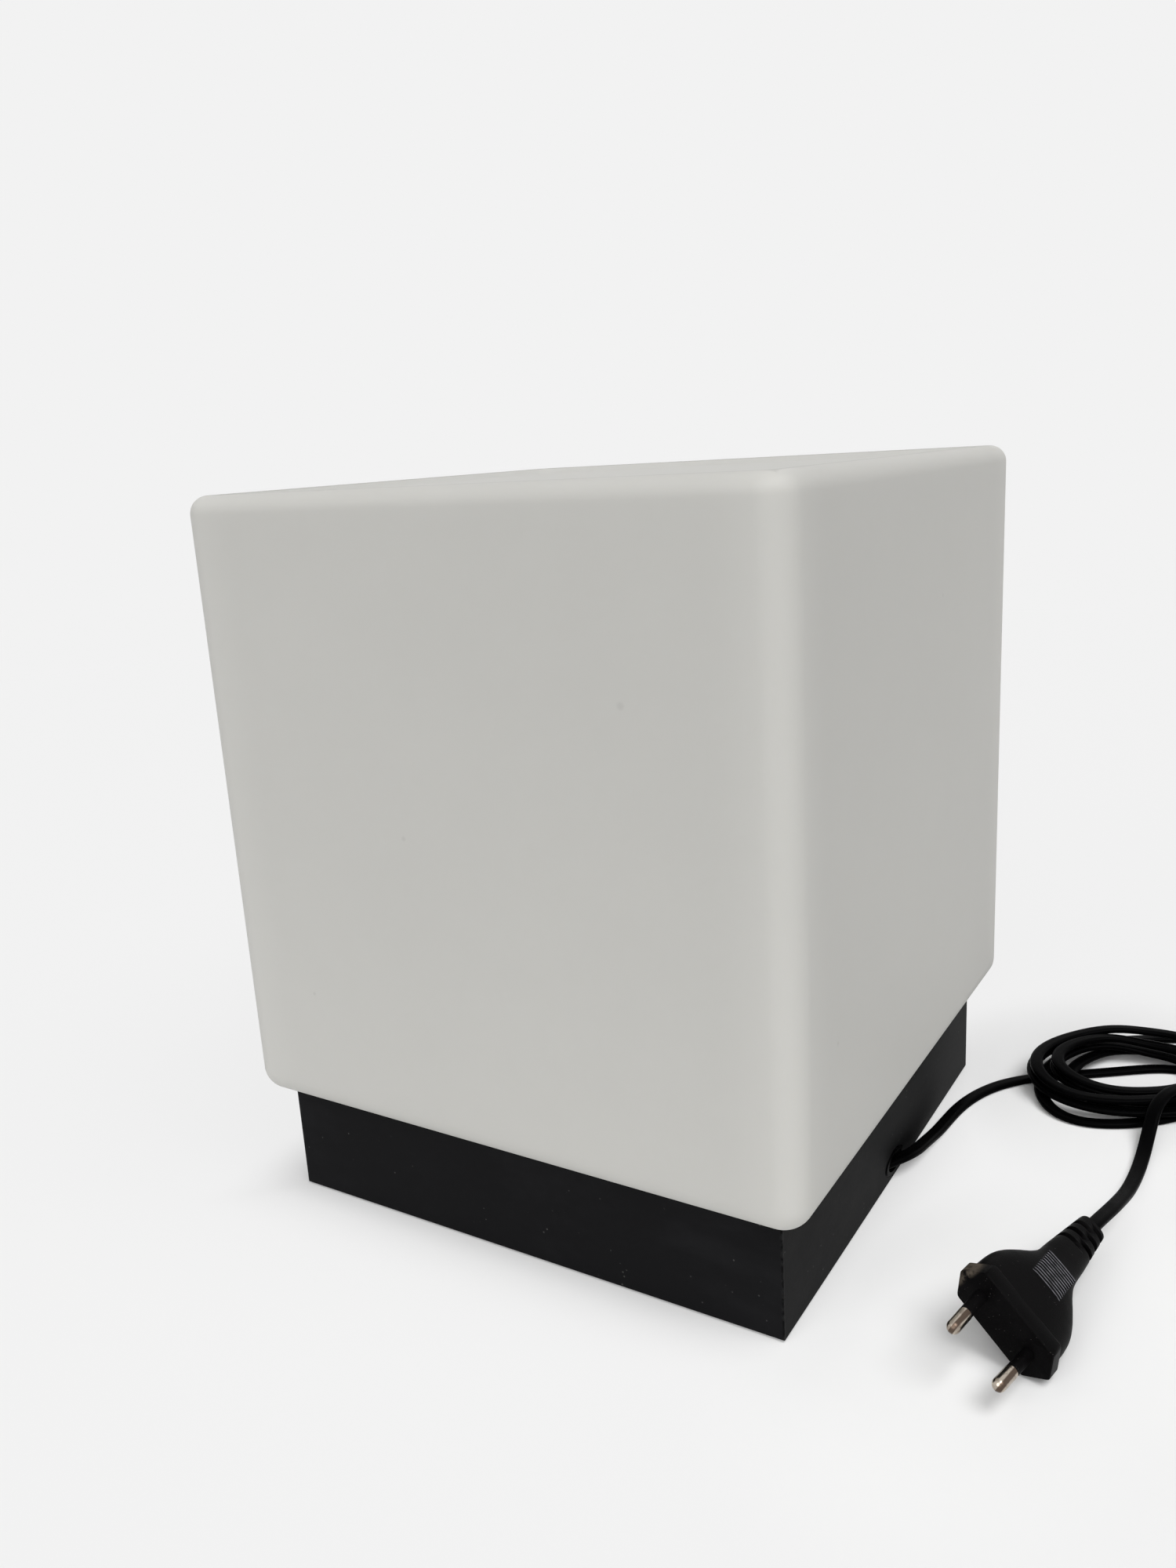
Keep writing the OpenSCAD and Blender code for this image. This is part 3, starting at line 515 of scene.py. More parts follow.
@dataclass(frozen=True)
class PlugSkin(Moulded):
    """The plug's skin: painted highlights on the crests of its grip ribs, and a painted brown
    reflection on one end of its front.

    Attributes:
        lint_colour: Linear colour of the lint.
        crest_highlight_colour: Linear colour of the painted highlights on the rib crests.
        reflection_colour: Linear colour of the painted brown reflection.
        worn: Distances from the middle between which the painted crest highlights end, in
            millimetres.
        broad: Heights above the middle between which the broad faces begin, in millimetres.
        front: Places along the plug between which its front face begins, in millimetres.
        block: Places along the plug between which the painted reflection begins, in millimetres.
        reflection_side: Places across the plug between which the painted reflection ends, in
            millimetres.
    """

    lint_colour: Colour = (0.30, 0.28, 0.27)
    crest_highlight_colour: Colour = (0.20, 0.20, 0.22)
    reflection_colour: Colour = (0.115, 0.095, 0.075)
    worn: Span = (5.1, 5.5)
    broad: Span = (3.0, 4.2)
    front: Span = (-1.2, -0.3)
    block: Span = (-6.4, -5.4)
    reflection_side: Span = (-15.6, -14.0)

    def shade(self, graph: Graph) -> None:
        """Builds the shader.

        Args:
            graph: The empty graph to fill.
        """
        x, y, z = graph.askew(plug_pose())
        # painted highlights: pale stripes on the crests of the grip ribs
        wave = ((x - RIB_FIRST) * (2 * math.pi / RIB_STEP) + math.pi / 2).sine().ramp(0.3, 0.85)
        patch = (x.ramp(RIB_LAST - 0.5, RIB_LAST - 0.3)
                 * x.ramp(RIB_FIRST + 0.3, RIB_FIRST + 0.5, 1.0, 0.0)
                 * abs(y).ramp(*self.worn, 1.0, 0.0) * abs(z).ramp(*self.broad))
        patchy = graph.noise(420, 3, 0.6).ramp(0.3, 0.6, 0.45, 1.0)
        crest = wave * patch * patchy
        skin = graph.noise(self.scale * 30, 3, 0.65)
        rub = graph.noise(self.scale, 4, 0.55).ramp(0.42, 0.7)
        front = x.ramp(*self.front)
        sparse = (graph.noise(self.scale * 7, 2, 0.5) + front * 0.08).ramp(0.60, 0.68)
        lint = graph.flecks(self.scale * 16, 0.08, 0.16) * sparse * self.lint
        # painted reflection: a warm brown patch on the front block at one end of the plug
        painted_reflection = (y.ramp(*self.reflection_side, 1.0, 0.0) * x.ramp(*self.block)
                 * graph.noise(300, 4, 0.6).ramp(0.35, 0.6))
        haze = front * graph.noise(130, 5, 0.7).ramp(0.35, 0.75)
        base = graph.tint(rub * 0.6 + haze * 0.7, self.colour, self.toned(2.6))
        base = graph.tint(lint, base, self.lint_colour)
        # the painted highlights on the rib crests
        base = graph.tint(crest * 0.8, base, self.crest_highlight_colour)
        # the painted brown reflection on the front block
        base = graph.tint(painted_reflection * 0.75, base, self.reflection_colour)
        rough = rub * 0.14 + skin * 0.10 + (lint + crest) * 0.2 + (self.rough - 0.08)
        graph.surface(Base_Color=base, Roughness=rough, Normal=graph.bump(skin, self.depth),
                      Specular_IOR_Level=self.gloss)


@dataclass(frozen=True)
class ClearGlass(Finish):
    """Clear glass with faint ripples, see-through by alpha.

    Attributes:
        alpha: Alpha where the glass is seen straight on.
    """

    alpha: float = 0.25

    def shade(self, graph: Graph) -> None:
        """Builds the shader.

        Args:
            graph: The empty graph to fill.
        """
        ripple = graph.noise(40, 2, 0.5)
        facing = graph.node("ShaderNodeLayerWeight", {}, {"Blend": 0.35}, "Facing")
        alpha = (facing ** 1.6) * 0.6 + ripple * 0.06 + self.alpha
        tint = graph.tint(ripple, self.toned(0.93), self.colour)
        rough = ripple * 0.04 + self.rough
        graph.surface(Base_Color=tint, Roughness=rough, Alpha=alpha,
                      Normal=graph.bump(ripple, 0.0002, 0.4))


@dataclass(frozen=True)
class PlatedPin(Finish):
    """Nickel plated pin with turning marks, warm worn streaks, and a painted reflection: a dark
    streak along it.

    Attributes:
        gap: Half the distance between the two pins, in millimetres.
        facing: Direction of the painted reflection streak from a pin's axis: across the plug and
            up.
        worn_colour: Linear colour of the worn plating, and of the painted reflection streak.
    """

    gap: float = 9.1
    facing: Span = (0.97, 0.24)
    worn_colour: Colour = (0.060, 0.034, 0.022)

    def shade(self, graph: Graph) -> None:
        """Builds the shader.

        Args:
            graph: The empty graph to fill.
        """
        _, across, up = graph.askew(plug_pose())
        axis = across.ramp(-1.0, 1.0, -self.gap, self.gap)
        off = (across - axis) * self.facing[0] + up * self.facing[1]
        # painted reflection: a dark brown streak along each pin beside its axis, added to the worn
        # patches below
        streak = off.ramp(-0.35, 0.0) * off.ramp(1.0, 1.35, 1.0, 0.0)
        worn = (graph.noise(320, 4, 0.65, twist=0.8).ramp(0.40, 0.66) * 0.5 + streak).smaller(1.0)
        rings = graph.noise(1500, 3, 0.6, graph.stretched((0.35, 1.0, 0.35)))
        base = graph.tint(worn * 0.9, self.colour, self.worn_colour)
        rough = worn * 0.14 + rings * 0.10 + (self.rough - 0.06)
        graph.surface(Base_Color=base, Roughness=rough, Metallic=1.0,
                      Normal=graph.bump(rings, 0.00001))


# place and radius of each blemish of the glass, in metres
BLEMISHES = ((-0.0240, -0.105, 0.1450, 0.0012), (0.105, -0.0760, 0.0900, 0.0010),
             (0.0560, -0.105, 0.1910, 0.0016), (0.105, 0.0210, 0.2050, 0.0009),
             (-0.0700, -0.105, 0.0850, 0.0009), (0.0300, 0.0200, 0.2492, 0.0012))

FINISHES: dict[str, Finish] = {finish.name: finish for finish in (
    OpalGlass("opal_glass", (0.545, 0.54, 0.515), 0.56, blemishes=BLEMISHES),
    Lacquer("plinth_black", (0.0082, 0.0082, 0.0089), 0.46),
    Finish("board", (0.23, 0.155, 0.09), 0.75, grain=Grain.SPECK, scale=90, spread=0.25,
           depth=0.00006),
    Finish("block_wood", (0.50, 0.33, 0.17), 0.6, grain=Grain.WOOD, scale=90, spread=0.28,
           depth=0.00008),
    Finish("screw_steel", (0.62, 0.58, 0.46), 0.32, 1.0, Grain.CLOUD, 300, 0.12),
    Moulded("pad_rubber", (0.022, 0.022, 0.022), 0.7, scale=60, depth=0.00005),
    Finish("felt", (0.03, 0.03, 0.032), 0.95, grain=Grain.FELT, scale=90, spread=0.5,
           depth=0.0004),
    Finish("collar_metal", (0.78, 0.78, 0.74), 0.4, grain=Grain.CLOUD, scale=70, spread=0.05,
           coat=0.2),
    Finish("tube_brass", (0.66, 0.46, 0.17), 0.3, 1.0, Grain.BRUSHED, 150, 0.15),
    Finish("nut_steel", (0.60, 0.60, 0.58), 0.3, 1.0, Grain.CLOUD, 260, 0.10),
    Finish("holder_plastic", (0.018, 0.014, 0.012), 0.28, grain=Grain.CLOUD, scale=120, spread=0.3,
           coat=0.3),
    Finish("ceramic", (0.80, 0.78, 0.70), 0.22, grain=Grain.SPECK, scale=60, spread=0.04,
           coat=0.4),
    Finish("contact_brass", (0.70, 0.50, 0.20), 0.28, 1.0, Grain.BRUSHED, 200, 0.16),
    Moulded("core_plastic", (0.12, 0.05, 0.025), 0.4, scale=120),
    ClearGlass("clear_glass", (0.93, 0.94, 0.92), 0.06, alpha=0.12),
    ClearGlass("stem_glass", (0.88, 0.91, 0.91), 0.1, alpha=0.3),
    Finish("filament", (0.16, 0.16, 0.17), 0.4, 1.0, Grain.CLOUD, 600, 0.2),
    Finish("cap_metal", (0.70, 0.67, 0.58), 0.3, 1.0, Grain.BRUSHED, 220, 0.12),
    Finish("black_glass", (0.015, 0.015, 0.02), 0.12, grain=Grain.CLOUD, scale=150, spread=0.3,
           coat=0.5),
    Moulded("clamp_plastic", (0.72, 0.70, 0.62), 0.5, scale=80, lint=0.1),
    Moulded("cord_black", (0.0007, 0.0007, 0.0008), 0.28, scale=110, depth=0.00002, lint=0.10,
            gloss=0.012),
    PlugSkin("plug_black", (0.0013, 0.0012, 0.0013), 0.46, scale=75, depth=0.00005, lint=0.22,
             gloss=0.03),
    # the pin metal's warm brown tone is partly a painted brown reflection
    PlatedPin("pin_metal", (0.50, 0.44, 0.37), 0.20),
)}


@dataclass
class Palette:
    """Makes each finish's material once and lends it out.

    Attributes:
        made: The materials made so far, by slot name.
    """

    made: dict[str, bpy.types.Material] = field(default_factory=dict)

    def get(self, slot: str) -> bpy.types.Material:
        """Returns the material of a slot, made on first use."""
        if slot not in self.made:
            self.made[slot] = FINISHES[slot].make()
        return self.made[slot]


PALETTE = Palette()

# ------------------------------------------------------------------------- geometry


def smooth(value: np.ndarray | float) -> np.ndarray | float:
    """Returns 3x^2 - 2x^3 of a value held between 0 and 1."""
    held = np.clip(value, 0.0, 1.0)
    return held * held * (3 - 2 * held)


def unit(vectors: np.ndarray) -> np.ndarray:
    """Returns vectors scaled to a length of one."""
    return vectors / np.linalg.norm(vectors, axis=-1, keepdims=True)


def arc(begin: float, end: float, count: int) -> list[tuple[float, float]]:
    """Returns the cosine and sine of evenly spaced angles between two angles in degrees."""
    angles = np.radians(np.linspace(begin, end, count))
    return list(zip(np.cos(angles).tolist(), np.sin(angles).tolist()))


def oval(steps: int, wide: float | np.ndarray, high: float | np.ndarray,
         x_power: float | np.ndarray, y_power: float | np.ndarray) -> tuple:
    """Returns the outline of a superellipse.

    x is half the width times the cosine of an angle raised to a power with its sign kept, and
    y the same of the sine. Powers below 1 swell the outline towards an oblong.

    Args:
        steps: Points round the outline.
        wide: Half the width, or a column of them for as many outlines.
        high: Half the height, or a column.
        x_power: Power of the cosine, or a column.
        y_power: Power of the sine, or a column.

    Returns:
        The arrays x and y.
    """
    angles = np.linspace(0, 2 * math.pi, steps, endpoint=False)
    return tuple(size * np.sign(ratio) * np.abs(ratio) ** power
                 for size, ratio, power in ((wide, np.cos(angles), x_power),
                                            (high, np.sin(angles), y_power)))


def spline(points: np.ndarray, steps: int) -> np.ndarray:
    """Runs a Catmull-Rom curve through points.

    Args:
        points: Control points, one a row.
        steps: Points made for each stretch between two control points.

    Returns:
        The curve's points.
    """
    ends = np.vstack([points[:1], points, points[-1:]])
    share = (np.arange(steps) / steps)[None, :, None]
    a, b, c, d = (ends[i:len(ends) - 3 + i][:, None, :] for i in range(4))
    bent = 0.5 * (2 * b + (c - a) * share + (2 * a - 5 * b + 4 * c - d) * share ** 2
                  + (3 * b - a - 3 * c + d) * share ** 3)
    return np.vstack([bent.reshape(-1, points.shape[1]), points[-1:]])


def grid_faces(rows: int, columns: int) -> np.ndarray:
    """Returns the quads of a grid of points whose rows close on themselves.

    Args:
        rows: Number of rows.
        columns: Points in a row.

    Returns:
        Four point numbers for each quad.
    """
    i, j = np.meshgrid(np.arange(rows - 1), np.arange(columns), indexing="ij")
    k = (j + 1) % columns
    quads = np.stack([i * columns + j, i * columns + k, (i + 1) * columns + k,
                      (i + 1) * columns + j], axis=-1)
    return quads.reshape(-1, 4)


@dataclass
class Shell:
    """A mesh gathered from several surfaces.

    Attributes:
        points: Blocks of points in metres.
        faces: Faces as lists of point numbers.
    """

    points: list[np.ndarray] = field(default_factory=list)
    faces: list[list[int]] = field(default_factory=list)

    def add(self, points: np.ndarray, *blocks: np.ndarray) -> None:
        """Adds one closed surface, turned so that its faces look outwards.

        Its volume is the sum, over the triangles of all faces, of the boxes that their corners
        span with the origin. Where that is negative, the faces are turned round.

        Args:
            points: The surface's points.
            blocks: Arrays of faces with equally many corners, counted from its first point.
        """
        volume = sum(float((points[faces[:, 0]]
                            * np.cross(points[faces[:, k]], points[faces[:, k + 1]])).sum())
                     for faces in blocks for k in range(1, faces.shape[1] - 1))
        start = sum(len(block) for block in self.points)
        for faces in blocks:
            turned = faces if volume > 0 else faces[:, ::-1]
            self.faces += (turned + start).tolist()
        self.points.append(points)

    def loft(self, rings: np.ndarray) -> None:
        """Adds a closed tube through rings of equal size, with a fan at each end.

        Args:
            rings: Array of rings, points and coordinates.
        """
        rows, columns, _ = rings.shape
        points = np.vstack([rings.reshape(-1, 3), rings[0].mean(0)[None], rings[-1].mean(0)[None]])
        j = np.arange(columns)
        k, hub, last = (j + 1) % columns, np.full(columns, rows * columns), (rows - 1) * columns
        self.add(points, grid_faces(rows, columns), np.stack([hub, k, j], 1),
                 np.stack([hub + 1, last + j, last + k], 1))

    def build(self, name: str, slot: str, body: Body, angle: float = 40.0) -> bpy.types.Object:
        """Makes the Blender object and gives it its finish and body.

        Args:
            name: Name of the piece.
            slot: Material slot that it takes its finish from.
            body: Body that it rides on.
            angle: Edges sharper than this many degrees stay sharp.

        Returns:
            The finished object.
        """
        mesh = bpy.data.meshes.new(name)
        mesh.from_pydata(np.vstack(self.points).tolist(), [], self.faces)
        mesh.validate()
        mesh.shade_smooth()
        mesh.set_sharp_from_angle(angle=math.radians(angle))
        mesh.materials.append(PALETTE.get(slot))
        made = bpy.data.objects.new(name, mesh)
        bpy.context.scene.collection.objects.link(made)
        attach(made, body.value)
        LOG.info("%s: %d faces of %s on %s", name, len(mesh.polygons), slot, body.value)
        return made


def square_loop(half: float, radius: float, arc_steps: int, straight: int) -> np.ndarray:
    """Returns a rounded square, or a circle when radius equals half.

    Args:
        half: Half of the square's width.
        radius: Radius of its corners.
        arc_steps: Steps in a corner.
        straight: Steps in a side.

    Returns:
        Points x and y, counter-clockwise, the same number for any size.
    """
    points = []
    for quarter in range(4):
        turns = math.pi / 2 * np.array([quarter, quarter + 1])
        now, after = (half - radius) * np.stack([np.cos(turns) - np.sin(turns),
                                                 np.sin(turns) + np.cos(turns)], 1)
        angles = np.linspace(*turns, arc_steps + 1)
        corner = now + radius * np.stack([np.cos(angles), np.sin(angles)], 1)
        begin = after + radius * np.array([math.cos(turns[1]), math.sin(turns[1])])
        share = (np.arange(1, straight) / straight)[:, None]
        points += [corner, corner[-1:] + (begin - corner[-1:]) * share]
    return np.vstack(points)


@dataclass(frozen=True)
class Pose:
    """A place and three axes for a piece that lies askew.

    Attributes:
        origin: The piece's own origin, in metres.
        along: Unit vector of its X axis.
        across: Unit vector of its Y axis.
        normal: Unit vector of its Z axis.
    """

    origin: np.ndarray
    along: np.ndarray
    across: np.ndarray
    normal: np.ndarray

    @classmethod
    def turned(cls, origin: tuple, yaw: float, pitch: float, roll: float) -> "Pose":
        """Makes a pose from three angles in degrees.

        Args:
            origin: The piece's own origin, in metres.
            yaw: Direction of the X axis, from the frame's +X towards +Y.
            pitch: Its rise above the floor.
            roll: Turn of the piece about it.

        Returns:
            The pose.
        """
        yaw, pitch, roll = (math.radians(v) for v in (yaw, pitch, roll))
        along = np.array([math.cos(pitch) * math.cos(yaw), math.cos(pitch) * math.sin(yaw),
                          math.sin(pitch)])
        flat = unit(np.cross(UP, along))
        across = math.cos(roll) * flat + math.sin(roll) * np.cross(along, flat)
        return cls(np.array(origin), along, across, np.cross(along, across))

    def place(self, local: np.ndarray) -> np.ndarray:
        """Returns points given along the pose's axes, in metres, in the frame."""
        return (self.origin + local[..., 0:1] * self.along + local[..., 1:2] * self.across
                + local[..., 2:3] * self.normal)


# ----------------------------------------------------------------------- the camera


@dataclass(frozen=True)
class CameraRig:
    """The camera that took the photograph, solved from the lamp's outline.

    Attributes:
        place: Its position in metres.
        right: Direction of the picture's right side.
        down: Direction of the picture's lower side.
        forward: Direction that it looks in.
        lens: Focal length in millimetres.
        sensor: Length of the picture's long side at that focal length.
        clip: Nearest and farthest distance that it sees, in metres.
    """

    place: tuple = (0.22557, -0.38968, 0.25748)
    right: tuple = (0.85055, 0.52265, -0.05827)
    down: tuple = (0.08555, -0.24684, -0.96527)
    forward: tuple = (-0.51888, 0.81603, -0.25466)
    lens: float = 29.157
    sensor: float = 36.0
    clip: Span = (0.01, 50.0)

    def build(self) -> None:
        """Makes the camera; its axes are the nearest ones that stand square to each other."""
        data = bpy.data.cameras.new("camera")
        data.lens, data.sensor_width = self.lens, self.sensor
        data.clip_start, data.clip_end = self.clip
        camera = bpy.data.objects.new("camera", data)
        axes = np.array([self.right, -np.array(self.down), -np.array(self.forward)])
        turn, _, other = np.linalg.svd(axes)
        whole = np.eye(4)
        whole[:3, :3], whole[:3, 3] = (turn @ other).T, self.place
        camera.matrix_world = Matrix(whole.tolist())
        bpy.context.scene.collection.objects.link(camera)
        bpy.context.scene.camera = camera
        LOG.info("camera: lens %.1f mm", self.lens)


# -------------------------------------------------------------------- cord and plug


# where the cord leaves the plinth, and in which direction
EXIT_AT = np.array([95.0, 3.0, 6.5])
EXIT_DIR = np.array([math.sin(math.radians(28)), math.cos(math.radians(28)), 0.0])
# the cord: its section, its straight run at each end of the hank, and where it ends in the holder
CORD_WIDE, CORD_THICK, END_RUN = 4.9, 2.4, 4.2
CORD_TOP = 56.8
# the plug: its front's flat width and thickness, halved, and the lengths of its parts
PLUG_FLAT, PLUG_THICK, FRONT_LEN = 13.0, 6.85, 6.0
PLUG_LEN, RELIEF_LEN = 42.0, 20.0
# the grip ribs: place of the first, distance and number
RIB_FIRST, RIB_STEP, RIBS = -18.4, 1.3, 11
RIB_LAST = RIB_FIRST - RIB_STEP * (RIBS - 1)

# turn, centre x and y, half length, half width and tilt of the hank's loops
LOOPS = ((0, 160.7, 110, 27, 20, 45), (0.5, 162, 110, 32, 21.5, 48),
         (1, 160.5, 111.5, 39.5, 26, 53), (1.25, 162.5, 111.5, 49, 30, 57),
         (2, 164, 112, 51, 30.5, 57), (2.25, 159, 109.5, 43, 26, 44),
         (2.5, 155, 106.5, 37, 26, 38), (2.75, 155, 105.5, 36, 25, 37),
         (3, 157, 107, 35.4, 23.4, 38), (3.25, 157, 109, 30.5, 20.8, 36),
         (3.5, 156.3, 107.5, 28.5, 20.5, 36), (3.75, 156, 106.3, 27.7, 20, 36),
         (4, 156, 107, 26.9, 19.4, 36), (4.25, 156, 107.5, 27.8, 20, 36),
         (4.5, 156.3, 107.5, 28.5, 20.5, 36), (4.75, 156.3, 106.8, 29.5, 20.8, 36),
         (5, 158, 107.5, 35, 24.5, 39), (5.25, 158, 108, 40, 26, 42),
         (5.5, 156.3, 107, 37.5, 26, 40), (5.8, 156, 106.5, 36, 26, 38))


@dataclass
class Coil:
    """A loose hank: oval loops, no two alike, laid on one another in three layers.

    All lengths are in millimetres and all angles in degrees.

    Attributes:
        loops: Rows of a turn, the loop's centre there, half its length and width, and its tilt.
        start: Direction in which the first loop is entered.
        turns: Number of turns.
        climbs: The turns at which the cord climbs to the next layer.
        lift: Height of a layer, and of the hump over the lead.
        climb: Turns from the middle of a climb to its end.
        last_lift: Rise of the last turns on to the bundle.
        last_turns: Length of that rise in turns.
        last_share: Share of it in which the rise is done.
        cross: Point where the cord crosses its own lead.
        heading: Direction of the lead there.
        flat: Distance from the lead up to which the hump is full.
        end: Distance from the lead at which it ends.
        fade: The places along X between which the hump ends.
        thick: Thickness of the cord.
    """

    loops: tuple[tuple[float, ...], ...] = LOOPS
    start: float = -15.0
    turns: float = 5.8
    climbs: tuple[float, float] = (2.0, 4.0)
    lift: float = 3.2
    climb: float = 0.16
    last_lift: float = 3.3
    last_turns: float = 0.3
    last_share: float = 0.86
    cross: tuple[float, float] = (121.0, 97.0)
    heading: float = 36.0
    flat: float = 6.0
    end: float = 36.0
    fade: tuple[float, float] = (142.0, 162.0)
    thick: float = CORD_THICK

    def at(self, t: np.ndarray) -> np.ndarray:
        """Works out the hank's centreline.

        Each point lies on an oval whose centre, size and tilt are read between two rows of the
        list, and the height is the layer's height plus a long low hump over the cord beneath.

        Args:
            t: Numbers of turns from the hank's start.

        Returns:
            One point for each number.
        """
        rows = np.array(self.loops)
        x, y, long, wide, tilt = (np.interp(t, rows[:, 0], rows[:, i]) for i in range(1, 6))
        angle, tilt = np.radians(self.start - 360 * t - tilt), np.radians(tilt)
        u, v = long * np.cos(angle), wide * np.sin(angle)
        x, y = x + u * np.cos(tilt) - v * np.sin(tilt), y + u * np.sin(tilt) + v * np.cos(tilt)
        raised = sum(smooth((t - turn + self.climb) / (2 * self.climb)) for turn in self.climbs)
        head = math.radians(self.heading)
        away = np.abs((y - self.cross[1]) * math.cos(head) - (x - self.cross[0]) * math.sin(head))
        hump = (self.lift * (1 - smooth((away - self.flat) / (self.end - self.flat)))
                * (1 - smooth((x - self.fade[0]) / (self.fade[1] - self.fade[0]))))
        rising = smooth((t - self.turns + self.last_turns) / self.last_turns / self.last_share)
        z = self.thick / 2 + self.lift * raised + self.last_lift * rising + hump
        return np.stack([x, y, z], 1)


# points of the cord before the hank, after it, and inside the plinth, in millimetres
LEAD_ROUTE = ((99.2, 15, 5.4), (99.6, 22, 4.2), (100, 30, 2.8), (100.6, 38, 1.8),
              (101.2, 48, 1.2), (102.4, 58, 1.2), (104.8, 68, 1.2), (108.6, 77.5, 1.2),
              (114, 86, 1.2), (121.3, 93.5, 1.2), (130, 100, 1.2), (139.5, 106.5, 1.2),
              (149, 113, 1.2), (157.5, 119, 1.2), (166, 124, 1.2), (174.2, 125.6, 1.2),
              (180.6, 123, 1.2), (184.2, 118, 1.2))
TAIL_ROUTE = ((187, 127, 10.9), (189.4, 119.5, 10.9), (188.8, 111.5, 10.9), (185.6, 104, 10.9),
              (180.8, 97.2, 10.9), (176, 90.5, 10.9), (172.4, 82.8, 10.9), (170.4, 74, 9.2),
              (170, 64, 4.5), (170, 54, 1.9), (170, 44, 1.4), (169.8, 33, 2.1),
              (169.3, 22, 3.8), (168.4, 11, 6.4), (167.2, 1, 8.6))
INNER_ROUTE = ((81.5, -22.8, 6.5), (77.3, -28.4, 7.6), (71.5, -32, 10.6), (64.5, -33.5, 15.6),
               (57.5, -33.8, 21.6), (51, -33.6, 27.4), (45, -32.8, 30.4), (39.5, -31.7, 30.7),
               (34, -30, 30.4), (28.5, -27.2, 26.6), (23.4, -23.2, 20), (18, -18, 12.6),
               (12, -12, 8), (7.8, -7.8, 7.2), (3.6, -3.6, 9.4), (1, -1, 13.6), (0, 0, 19),
               (0, 0, 27), (0, 0, 40))


def plug_pose() -> Pose:
    """Returns the pose of the plug, whose X axis points along the pins.

    It lies with one lower edge of its front on the floor, which gives its height.
    """
    yaw, pitch, roll = -100.5, 3.0, -39.5
    rise, lean = math.radians(pitch), math.radians(-roll)
    height = ((PLUG_FLAT * math.sin(lean) + PLUG_THICK * math.cos(lean)) * math.cos(rise)
              + FRONT_LEN * math.sin(rise))
    return Pose.turned((0.153, -0.076, height * MM), yaw, pitch, roll)


def cord_section(steps: int = 28) -> np.ndarray:
    """Returns the outline of the flat two-core cord, in millimetres.

    It is an oblong with round sides, and a shallow furrow runs between the two cores.
    """
    x, y = oval(steps, CORD_WIDE / 2, CORD_THICK / 2, 0.72, 0.62)
    return np.stack([x, y * (1 - 0.09 * np.exp(-(x / 0.55) ** 2))], 1)


def sweep(path: np.ndarray, section: np.ndarray, levels: np.ndarray) -> np.ndarray:
    """Carries an outline along a path.

    Each ring stands square to the path; its width lies across the path and the level vector.

    Args:
        path: Points in metres.
        section: Outline in metres.
        levels: One vector for each point, or a single one.

    Returns:
        Rings as an array of rings, points and coordinates.
    """
    along = unit(np.gradient(path, axis=0))
    side = unit(np.cross(along, np.broadcast_to(levels, path.shape)))
    up = np.cross(side, along)
    return path[:, None] + section[:, :1] * side[:, None] + section[:, 1:] * up[:, None]


